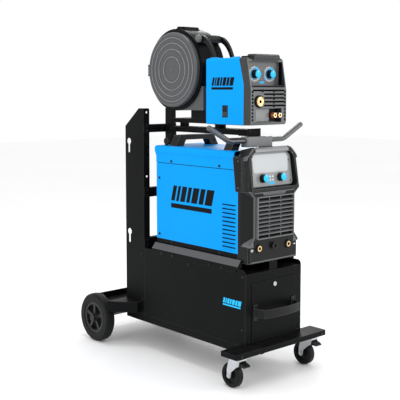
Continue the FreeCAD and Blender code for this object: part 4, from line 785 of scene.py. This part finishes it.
def source_grille():
    """Slanted fins in three bays in a rounded frame, with painted shade behind them."""
    lo, hi = BOX["ps_grille"]
    rim = 5 * MM
    bars = 10
    bm = bmesh.new()
    inside = (lo.z + rim, hi.z - rim)
    pitch = (inside[1] - inside[0]) / bars
    for k in range(1, bars):
        z = inside[0] + pitch * k
        fin = [(lo.y + 0.5 * MM, z - 3.4 * MM), (lo.y + 3 * MM, z - 3.8 * MM), (hi.y, z + 1.4 * MM),
               (hi.y, z + 4.2 * MM), (lo.y + 0.5 * MM, z + 0.6 * MM)]
        prism(bm, right_side(lo.x + rim), fin, 0, hi.x - lo.x - 2 * rim)
    for x in (-31.5 * MM, 35.5 * MM):
        block(bm, front(hi.y - 4 * MM), x - 2.5 * MM, x + 2.5 * MM, inside[0], inside[1], -2 * MM, 0)
    piece("source_grille_fins", bm, "trolley", "grille_grey", bevel=0.5 * MM)
    bm = bmesh.new()
    outer = round_box(lo.x, hi.x, lo.z, hi.z, 6 * MM)
    inner = round_box(lo.x + rim, hi.x - rim, *inside, 3 * MM)
    ring_prism(bm, front(lo.y), outer, inner, lo.y - hi.y, 0.0)
    piece("source_grille_frame", bm, "trolley", "grille_grey", bevel=1.2 * MM,
          replaces=["ps_grille"])
    # A dark sheet behind the fins: painted shade between them.
    bm = bmesh.new()
    edge = 3 * MM
    block(bm, front(hi.y - 0.4 * MM), lo.x + edge, hi.x - edge, lo.z + edge, hi.z - edge, -1 * MM, 0)
    piece("source_grille_shade", bm, "trolley", "painted_shade_in_openings")


def panel_spot():
    """The face of the leaning control panel, from the middle of its foot."""
    out = Vector(joint("source_knob_left_turn")["axis"])
    return Spot((0, low("ps_display", "Y"), low("ps_display", "Z")), (1, 0, 0), upward(out))


def source_panel():
    """Screen, push buttons, the label and scales by the knobs, and the corner screws."""
    spot = panel_spot()
    top = high("ps_display", "Z") - low("ps_display", "Z") - 7 * MM
    foot = 55 * MM
    skin = 0.6 * MM
    half = [(94 * MM, foot), (100 * MM, foot + 6 * MM), (104 * MM, top - 15 * MM), (92 * MM, top)]
    bm = bmesh.new()
    prism(bm, spot, half + mirrored(half)[::-1], -skin, 1.0 * MM)
    piece("source_screen", bm, "trolley", "screen", bevel=0.6 * MM)
    bm = bmesh.new()
    for u in (-8 * MM, 8 * MM):
        for v in (24 * MM, 38 * MM):
            lathe(bm, spot, u, v, [(-skin, 3.6 * MM), (1.4 * MM, 3.6 * MM), (2.0 * MM, 2.8 * MM)], 20)
    piece("source_buttons", bm, "trolley", "mark_white")
    bm = bmesh.new()
    prism(bm, spot, round_box(-17 * MM, 17 * MM, 6 * MM, 16 * MM, 2 * MM), -skin, 0.5 * MM)
    piece("source_label", bm, "trolley", "accent_cyan")
    bm = bmesh.new()
    for u in (-51 * MM, 51 * MM):
        for i in range(11):
            tick = ray(spot, u, 32 * MM, -45 + 27 * i)
            block(bm, tick, 20.5 * MM, 23.5 * MM, -0.5 * MM, 0.5 * MM, -skin, 0.4 * MM)
    piece("source_scales", bm, "trolley", "mark_black")
    corners = mm((-113, 14), (-108, 100), (113, 14), (108, 100))
    screw_heads("source_panel_screws", spot, corners, 2.8 * MM)


def knob_cap(name, node, body, turn):
    """Coloured cap with a pointer on the end of a knob that turns on a joint."""
    axis = Vector(turn["axis"])
    base = Vector(turn["pos_m"])
    reach = max((v.co - base).dot(axis) for v in frame["nodes"][node].data.vertices)
    up = upward(axis)
    spot = Spot(base + axis * reach, up.cross(axis), up)
    bm = bmesh.new()
    radius = (high(node, "X") - low(node, "X")) / 2 - 2.4 * MM
    lathe(bm, spot, 0, 0, [(-0.6 * MM, radius), (0.5 * MM, radius), (1.3 * MM, radius - 1.2 * MM),
                           (1.7 * MM, 0.5 * radius), (1.8 * MM, 0.1 * radius)], 40)
    piece(name + "_cap", bm, body, "accent_cyan")
    bm = bmesh.new()
    outline = round_box(-1.1 * MM, 1.1 * MM, 6 * MM, radius - 1 * MM, 1.0 * MM, 3)
    prism(bm, spot, outline, 0.6 * MM, 2.3 * MM)
    piece(name + "_pointer", bm, body, "mark_white")


def knobs():
    """The two knobs of the power source and the two dials of the feeder."""
    for side in ("left", "right"):
        for node, body in (("ps_knob_", "source_knob_"), ("feeder_knob_", "dial_")):
            softened(node + side, 0.5 * MM)
            knob_cap(body + side, node + side, body + side, joint(body + side + "_turn"))


# ---- feeder ----------------------------------------------------------------------------
def feeder_shell():
    """Lighter front and a lighter cradle, darker sides, a paler grey on the cap's upward faces as painted light
    from above, and the edges of the blue sheets softened.
    """
    top = high("feeder_bezel", "Z")

    def front_or_lit_cap_top(centre, normal):
        looks_forward = normal.y < -0.55 and centre.y < depth(78)
        on_front = looks_forward and abs(centre.x) < 94 * MM and centre.z < top - 20 * MM
        # Upward faces on the cap take the paler grey: painted light from above.
        lit_cap_top = normal.z > 0.75 and centre.z > top - 16 * MM and centre.y < depth(60)
        return 1 if on_front or lit_cap_top else 0

    softened("feeder_bezel", 1.5 * MM, segments=3, finishes=["feeder_grey", "face_grey"],
             choose=front_or_lit_cap_top)
    softened("feeder_cover", 0.4 * MM)
    softened("feeder_door", 0.4 * MM)
    cradle = depth(345)
    floor = 1077 * MM

    def cradle_or_rail(centre, normal):
        return 1 if centre.z > floor and centre.y > cradle else 0

    softened("feeder_chassis", 0.8 * MM, finishes=["powder_black", "lid_grey"], choose=cradle_or_rail)


def feeder_dials():
    """White scales, cyan rings and arcs round the two dials, and the label below them."""
    x, _, z = joint("dial_right_turn")["pos_m"]
    panel = front(depth(75.9), 0, z)
    back = -0.4 * MM
    around = 359.9
    white, cyan = bmesh.new(), bmesh.new()
    for u in (-x, x):
        for i in range(36):
            end = 32.6 if i % 3 == 0 else 30.6
            block(white, ray(panel, u, 0, 10 * i), 27 * MM, end * MM, -1.2 * MM, 1.2 * MM, back, 0.5 * MM)
        band(white, panel, u, 0, 25 * MM, 26.6 * MM, 0, around, back, 0.45 * MM)
        band(cyan, panel, u, 0, 19.5 * MM, 22.5 * MM, 0, around, back, 0.5 * MM)
        band(cyan, panel, u, 0, 22.5 * MM, 30 * MM, 5, 80, back, 0.7 * MM)
        band(cyan, panel, u, 0, 31 * MM, 34.5 * MM, -45, -15, back, 0.5 * MM)
    band(cyan, panel, x, 0, 31 * MM, 34.5 * MM, 195, 230, back, 0.5 * MM)
    piece("feeder_dial_scales", white, "feeder", "mark_white")
    prism(cyan, panel, round_box(-13 * MM, 13 * MM, -38 * MM, -29 * MM, 2 * MM), back, 0.5 * MM)
    piece("feeder_dial_arcs", cyan, "feeder", "accent_cyan")


def feeder_ledge():
    """Dark ledge under the dials and the dark right wall of their recess."""
    bm = bmesh.new()
    block(bm, front(depth(36)), -93 * MM, 93 * MM, 1185.5 * MM, 1191.6 * MM, -8 * MM, 0.8 * MM)
    block(bm, right_side(97.6 * MM), depth(58), depth(75), 1193 * MM, 1286 * MM, -0.6 * MM, 0.2 * MM)
    piece("feeder_ledge", bm, "feeder", "mark_black", bevel=0.5 * MM)


def feeder_grille():
    """Raised bars beside the torch socket, and rows of dark squares and a dark sheet behind the slots, painted
    shade in the openings.
    """
    face = front(depth(36))
    pitch = 15.2
    bm = bmesh.new()
    for i in range(6):
        v = 1102.5 + pitch * i
        start = -31 if 1105 < v < 1158 else -92
        block(bm, face, start * MM, 92 * MM, (v - 2.6) * MM, (v + 2.6) * MM, -4 * MM, 1.0 * MM)
    piece("feeder_grille_bars", bm, "feeder", "face_grey", bevel=0.9 * MM)
    bm = bmesh.new()

    def square(u, v, half_width, half_height, radius, rise):
        outline = round_box((u - half_width) * MM, (u + half_width) * MM, (v - half_height) * MM,
                            (v + half_height) * MM, radius * MM, 3)
        prism(bm, face, outline, -1 * MM, rise * MM)

    # Dark squares: painted shade in the rows of holes.
    for u in (-93.5, 94.5):
        for i in range(9):
            square(u, 1054 + 14 * i, 4.2, 4.6, 1.6, 1.2)
    for u in (-36, 29):
        for i in range(5):
            v = 1110 + pitch * i
            if u > 0 or v > 1160:
                square(u, v, 5, 6, 1.4, 1.3)
    piece("feeder_hole_shade_rows", bm, "feeder", "painted_shade_in_openings")
    # A dark sheet behind the slots: painted shade.
    bm = bmesh.new()
    block(bm, front(depth(52)), -92 * MM, 92 * MM, 1100 * MM, 1184 * MM, -1.2 * MM, 0)
    piece("feeder_grille_shade", bm, "feeder", "painted_shade_in_openings")


def feeder_lower_plate():
    """Pale plate at the foot of the front, and a black plate for the well behind the hose couplings, painted shade
    in that recess.
    """
    back = front(depth(58.2))
    bm = bmesh.new()
    outline = mm((-71, 1047), (14, 1047), (22, 1055), (22, 1098), (-71, 1098))
    prism(bm, back, outline, -1 * MM, 1.4 * MM)
    piece("feeder_lower_plate", bm, "feeder", "plate_grey", bevel=1.0 * MM)
    # The well behind the couplings is a flat black plate: painted shade in the recess.
    bm = bmesh.new()
    prism(bm, back, mm((24, 1047), (73, 1047), (73, 1098), (24, 1098)), -1 * MM, 0.6 * MM)
    piece("feeder_coupling_well_shade", bm, "feeder", "mark_black")


def hose_couplings():
    """Coloured rings of the two hose couplings, and painted shade lining their bores."""
    ring = mm((-4, 9.9), (-4, 11.2), (-3.2, 11.8), (1.2, 11.8), (2, 11.2), (2, 9.9))
    v = 1072 * MM
    for u, finish in ((33, "ring_red"), (62, "ring_blue")):
        bm = bmesh.new()
        lathe(bm, front(depth(44)), u * MM, v, ring, 40, closed=True)
        piece("hose_%s" % finish, bm, "feeder", finish)
        # A dark lining in each bore: painted shade.
        bm = bmesh.new()
        band(bm, front(depth(32)), u * MM, v, 4.2 * MM, 4.55 * MM, 0, 360, -20 * MM, 0.2 * MM, 32)
        piece("hose_bore_%d" % u, bm, "feeder", "painted_shade_in_openings")


def torch_socket():
    """Black ring and raised brass rims round the torch connector, and painted shade in its contact pin holes and
    bore.
    """
    u, v = -58 * MM, 1128 * MM
    bm = bmesh.new()
    ring = mm((-6, 19.2), (-6, 25), (-1, 25), (0.5, 23.6), (0.5, 20.4), (-0.6, 19.2))
    lathe(bm, front(low("feeder_bezel", "Y")), u, v, ring, 56, closed=True)
    piece("torch_socket_ring", bm, "feeder", "mark_black", bevel=0.3 * MM)
    face = front(low("feeder_connectors", "Y") + 0.2 * MM)
    bm = bmesh.new()
    for radius, tall in ((17.6, 1.2), (10.4, 1.0)):
        band(bm, face, u, v, (radius - 1.6) * MM, radius * MM, 0, 360, -1 * MM, tall * MM, 48)
    piece("torch_socket_rims", bm, "feeder", "brass", bevel=0.3 * MM)
    # Dark discs and a dark bore lining: painted shade in the holes.
    bm = bmesh.new()
    orbit = 13.2 * MM
    for i in range(6):
        a = math.radians(30 + 60 * i)
        disc(bm, face, u + orbit * math.cos(a), v + orbit * math.sin(a), 1.7 * MM, -0.5 * MM, 0.25 * MM, 16)
    band(bm, face, u, v, 6.1 * MM, 6.5 * MM, 0, 360, -34 * MM, 0.4 * MM, 32)
    piece("torch_socket_hole_shade", bm, "feeder", "painted_shade_in_openings")


def feeder_cap():
    """Strip and corner tabs on the cap over the dials."""
    top = high("feeder_bezel", "Z")
    section = [(depth(47.2), 1312 * MM), (depth(50.2), top + 0.8 * MM), (depth(82), top + 0.8 * MM),
               (depth(88), 1310 * MM), (depth(84), top - 1 * MM), (depth(52), top - 1 * MM)]
    bm = bmesh.new()
    prism(bm, right_side(-64 * MM), section, 0, 128 * MM)
    piece("feeder_cap_strip", bm, "feeder", "face_grey", bevel=0.8 * MM)
    bm = bmesh.new()
    for x in (-96 * MM, 76 * MM):
        block(bm, right_side(x), depth(66), depth(98), 1303 * MM, 1309.5 * MM, 0, 20 * MM)
    piece("feeder_cap_tabs", bm, "feeder", "mark_black", bevel=1.5 * MM, segments=3)


def latch_trim():
    """Dark frame round the door latch and the grip on its paddle."""
    bm = bmesh.new()
    outer = round_box(-depth(200.5), -depth(168.5), 1062.5 * MM, 1111.5 * MM, 1.5 * MM)
    inner = round_box(-depth(198.9), -depth(170.1), 1064.2 * MM, 1109.8 * MM, 0.5 * MM)
    ring_prism(bm, left_side(low("feeder_door", "X")), outer, inner, -0.5 * MM, 0.7 * MM)
    piece("door_latch_frame", bm, "feeder_left_door", "mark_black")
    bm = bmesh.new()
    lo, hi = BOX["door_latch"]
    edge = 5 * MM
    grip = round_box(-hi.y + edge, -lo.y - edge, lo.z + edge, lo.z + 19 * MM, 2 * MM)
    prism(bm, left_side(lo.x), grip, -0.5 * MM, 0.9 * MM)
    piece("door_latch_grip", bm, "left_door_latch", "feeder_grey", bevel=0.5 * MM)


def bowed(start, through, end, steps=12):
    """Points of a curve from start to end through a point halfway."""
    pull = [2 * m - (a + b) / 2 for a, m, b in zip(start, through, end)]
    points = []
    for i in range(steps + 1):
        t = i / steps
        points.append(tuple((1 - t) ** 2 * a + 2 * t * (1 - t) * c + t * t * b
                            for a, c, b in zip(start, pull, end)))
    return points


def feeder_grip():
    """Carrying handle: two swept arms on foot plates, a ribbed sleeve and a bright end cap."""
    base = low("feeder_handle", "Z")
    y, z = depth(379), 1392 * MM
    foot = depth(293)
    outer = bowed((y - 4 * MM, z + 14 * MM), (depth(322), z - 14 * MM), (foot - 10 * MM, base))
    inner = bowed((foot + 10 * MM, base), (depth(334), z - 34 * MM), (y - 2 * MM, z - 12 * MM))
    bm = bmesh.new()
    for x in (-67 * MM, 38 * MM):
        prism(bm, right_side(x), outer + inner, 0, 12 * MM)
    piece("feeder_handle_arms", bm, "feeder", "handle_black", bevel=2.5 * MM, segments=3,
          replaces=["feeder_handle"])
    spot = left_side(-75 * MM)
    bm = bmesh.new()
    sleeve = [(-127, 4), (-127, 13), (-124, 15.6), (-120, 16)]
    for i in range(10):
        w = -113 + 11 * i
        sleeve += [(w - 3.4, 16), (w - 2.4, 17.4), (w + 2.4, 17.4), (w + 3.4, 16)]
    sleeve += [(-5, 16), (0, 16), (0, 4)]
    lathe(bm, spot, -y, z, mm(*sleeve), 48)
    piece("feeder_grip_sleeve", bm, "feeder", "handle_black")
    bm = bmesh.new()
    cap = mm((-3, 12), (-3, 17.6), (2, 17.6), (7, 15.6), (11, 12), (13.5, 6), (14, 1))
    lathe(bm, spot, -y, z, cap, 48)
    piece("feeder_grip_cap", bm, "feeder", "face_grey")
    bm = bmesh.new()
    for x in (-76 * MM, 29 * MM):
        block(bm, right_side(x), foot - 14 * MM, foot + 13 * MM, base - 0.4 * MM, base + 5 * MM, 0, 30 * MM)
    piece("feeder_handle_feet", bm, "feeder", "face_grey", bevel=1.2 * MM)


# ---- drum ------------------------------------------------------------------------------
LID_RINGS = (56, 89, 115, 139)


def lid_profile(radius):
    """Half section of the lid's shell: dimple, raised rings, rolled rim, and back along its inside."""
    profile = mm((0.4, 0.5), (0.6, 2.5), (-1.2, 5), (-2.0, 9), (-2.2, 40))
    groove = ((-12, -2.2), (-7, -3.2), (-3.6, -3.4), (-2.2, -2.4), (-1.3, -0.4), (1.3, -0.4),
              (2.2, -2.4), (3.6, -3.4), (7, -3.2), (11, -2.2))
    for ring in LID_RINGS:
        profile += mm(*((rise, ring + offset) for offset, rise in groove))
    rim = 9 * MM
    profile += [(w - rim, r) for r, w in arc(radius - rim, 0, rim, 90, 0, 6)]
    inset = -20.5 * MM
    profile += [(inset, radius), (inset, radius - 4 * MM), (-12 * MM, radius - 5 * MM),
                (-5 * MM, radius - 11 * MM), (-5 * MM, 0.5 * MM)]
    return profile


def drum_lid():
    """Dished lid on its hinge strap, and pale grey crests on its rings as painted highlights."""
    start = BOX["spool_lid"][0]
    centre = Vector(joint("spool_spin")["pos_m"])
    radius = centre.y - start.y
    spot = left_side(start.x, centre.y, centre.z)
    bm = bmesh.new()
    lathe(bm, spot, 0, 0, lid_profile(radius), 128)
    hinge = joint("drum_lid_hinge")["pos_m"]
    reach = 15 * MM
    block(bm, right_side(start.x + 14 * MM), centre.y + radius - 6 * MM, hinge[1], centre.z - reach,
          centre.z + reach, 0, 6 * MM)
    upright = Spot((hinge[0], hinge[1], centre.z), (1, 0, 0), (0, 1, 0))
    disc(bm, upright, 0, 0, 5 * MM, -reach, reach)
    piece("drum_lid_shell", bm, "drum_lid", "lid_grey", sharp=40, replaces=["spool_lid"])
    bm = bmesh.new()
    # Pale grey crests on the raised rings: painted highlights.
    for ring in LID_RINGS:
        crest = mm((-0.7, ring - 1.2), (0.3, ring - 0.8), (0.3, ring + 0.8), (-0.7, ring + 1.2))
        lathe(bm, spot, 0, 0, crest, 128, closed=True)
    piece("drum_lid_ring_highlights", bm, "drum_lid", "plate_grey")


# ---- stage -----------------------------------------------------------------------------
def stage():
    """A wide pale floor and even white surroundings."""
    bm = bmesh.new()
    half = 14.0
    ground = Spot((0, 0, 0), (1, 0, 0), (0, 1, 0))
    block(bm, ground, -half, half, -half, half, -0.02, 0.0)
    mesh = bpy.data.meshes.new("floor")
    bmesh.ops.recalc_face_normals(bm, faces=bm.faces)
    bm.to_mesh(mesh)
    bm.free()
    floor = bpy.data.objects.new("floor", mesh)
    bpy.context.scene.collection.objects.link(floor)
    finish = Finish("floor", specular=0.2)
    cloud = finish.remap(finish.noise(0.6, 3.0), 0.3, 0.7, 0.0, 1.0)
    finish.colour(finish.mix(cloud, (0.95, 0.952, 0.955), grey(0.97)))
    finish.rough(0.75)
    mesh.materials.append(finish.material)
    world = bpy.data.worlds.new("studio")
    bpy.context.scene.world = world
    world.use_nodes = True
    sky = world.node_tree.nodes["Background"]
    sky.inputs["Color"].default_value = (1.0, 1.0, 1.0, 1.0)
    sky.inputs["Strength"].default_value = 1.0


def softbox(name, place, target, size, power):
    """A rectangular area light that looks at a target."""
    light = bpy.data.lights.new(name, "AREA")
    light.shape = "RECTANGLE"
    light.size, light.size_y = size
    light.energy = power
    obj = bpy.data.objects.new(name, light)
    bpy.context.scene.collection.objects.link(obj)
    obj.location = place
    obj.rotation_euler = (Vector(target) - Vector(place)).to_track_quat("-Z", "Y").to_euler()


def lights():
    """Soft boxes: a key on the left, two strips in front, one above and one behind."""
    core = (0, 0, 0.75)
    softbox("key_left", (-3.4, -0.6, 2.2), core, (0.5, 2.2), 26)
    softbox("front_strip", (-0.6, -3.6, 2.3), core, (0.35, 2.0), 18)
    softbox("front_right", (2.2, -3.0, 1.6), core, (0.4, 2.0), 18)
    softbox("top", (0, 0.2, 3.4), core, (1.6, 0.6), 22)
    softbox("back_right", (2.6, 2.2, 2.2), core, (0.5, 2.0), 20)


def camera():
    """A long lens from the front left, above the middle, looking slightly down."""
    data = bpy.data.cameras.new("view")
    data.sensor_width = 36.0
    data.lens = 74.73
    data.shift_y = -0.08
    obj = bpy.data.objects.new("view", data)
    bpy.context.scene.collection.objects.link(obj)
    obj.location = (-2.43781, -2.76236, 1.17249)
    obj.rotation_euler = (math.radians(90 - 5.34), 0, math.radians(-41.61))
    bpy.context.scene.camera = obj
    bpy.context.scene.view_settings.view_transform = "Standard"


sheet_finishes()
plastic_finishes()
metal_and_rubber_finishes()
mark_finishes()
dress_nodes()
soften_nodes()
brace_foot()
side_marks()
louvres()
source_covers()
source_bezel()
weld_sockets()
control_socket()
polarity_signs()
source_grille()
source_panel()
knobs()
feeder_shell()
feeder_dials()
feeder_ledge()
feeder_grille()
feeder_lower_plate()
hose_couplings()
torch_socket()
feeder_cap()
latch_trim()
feeder_grip()
drum_lid()
stage()
lights()
camera()
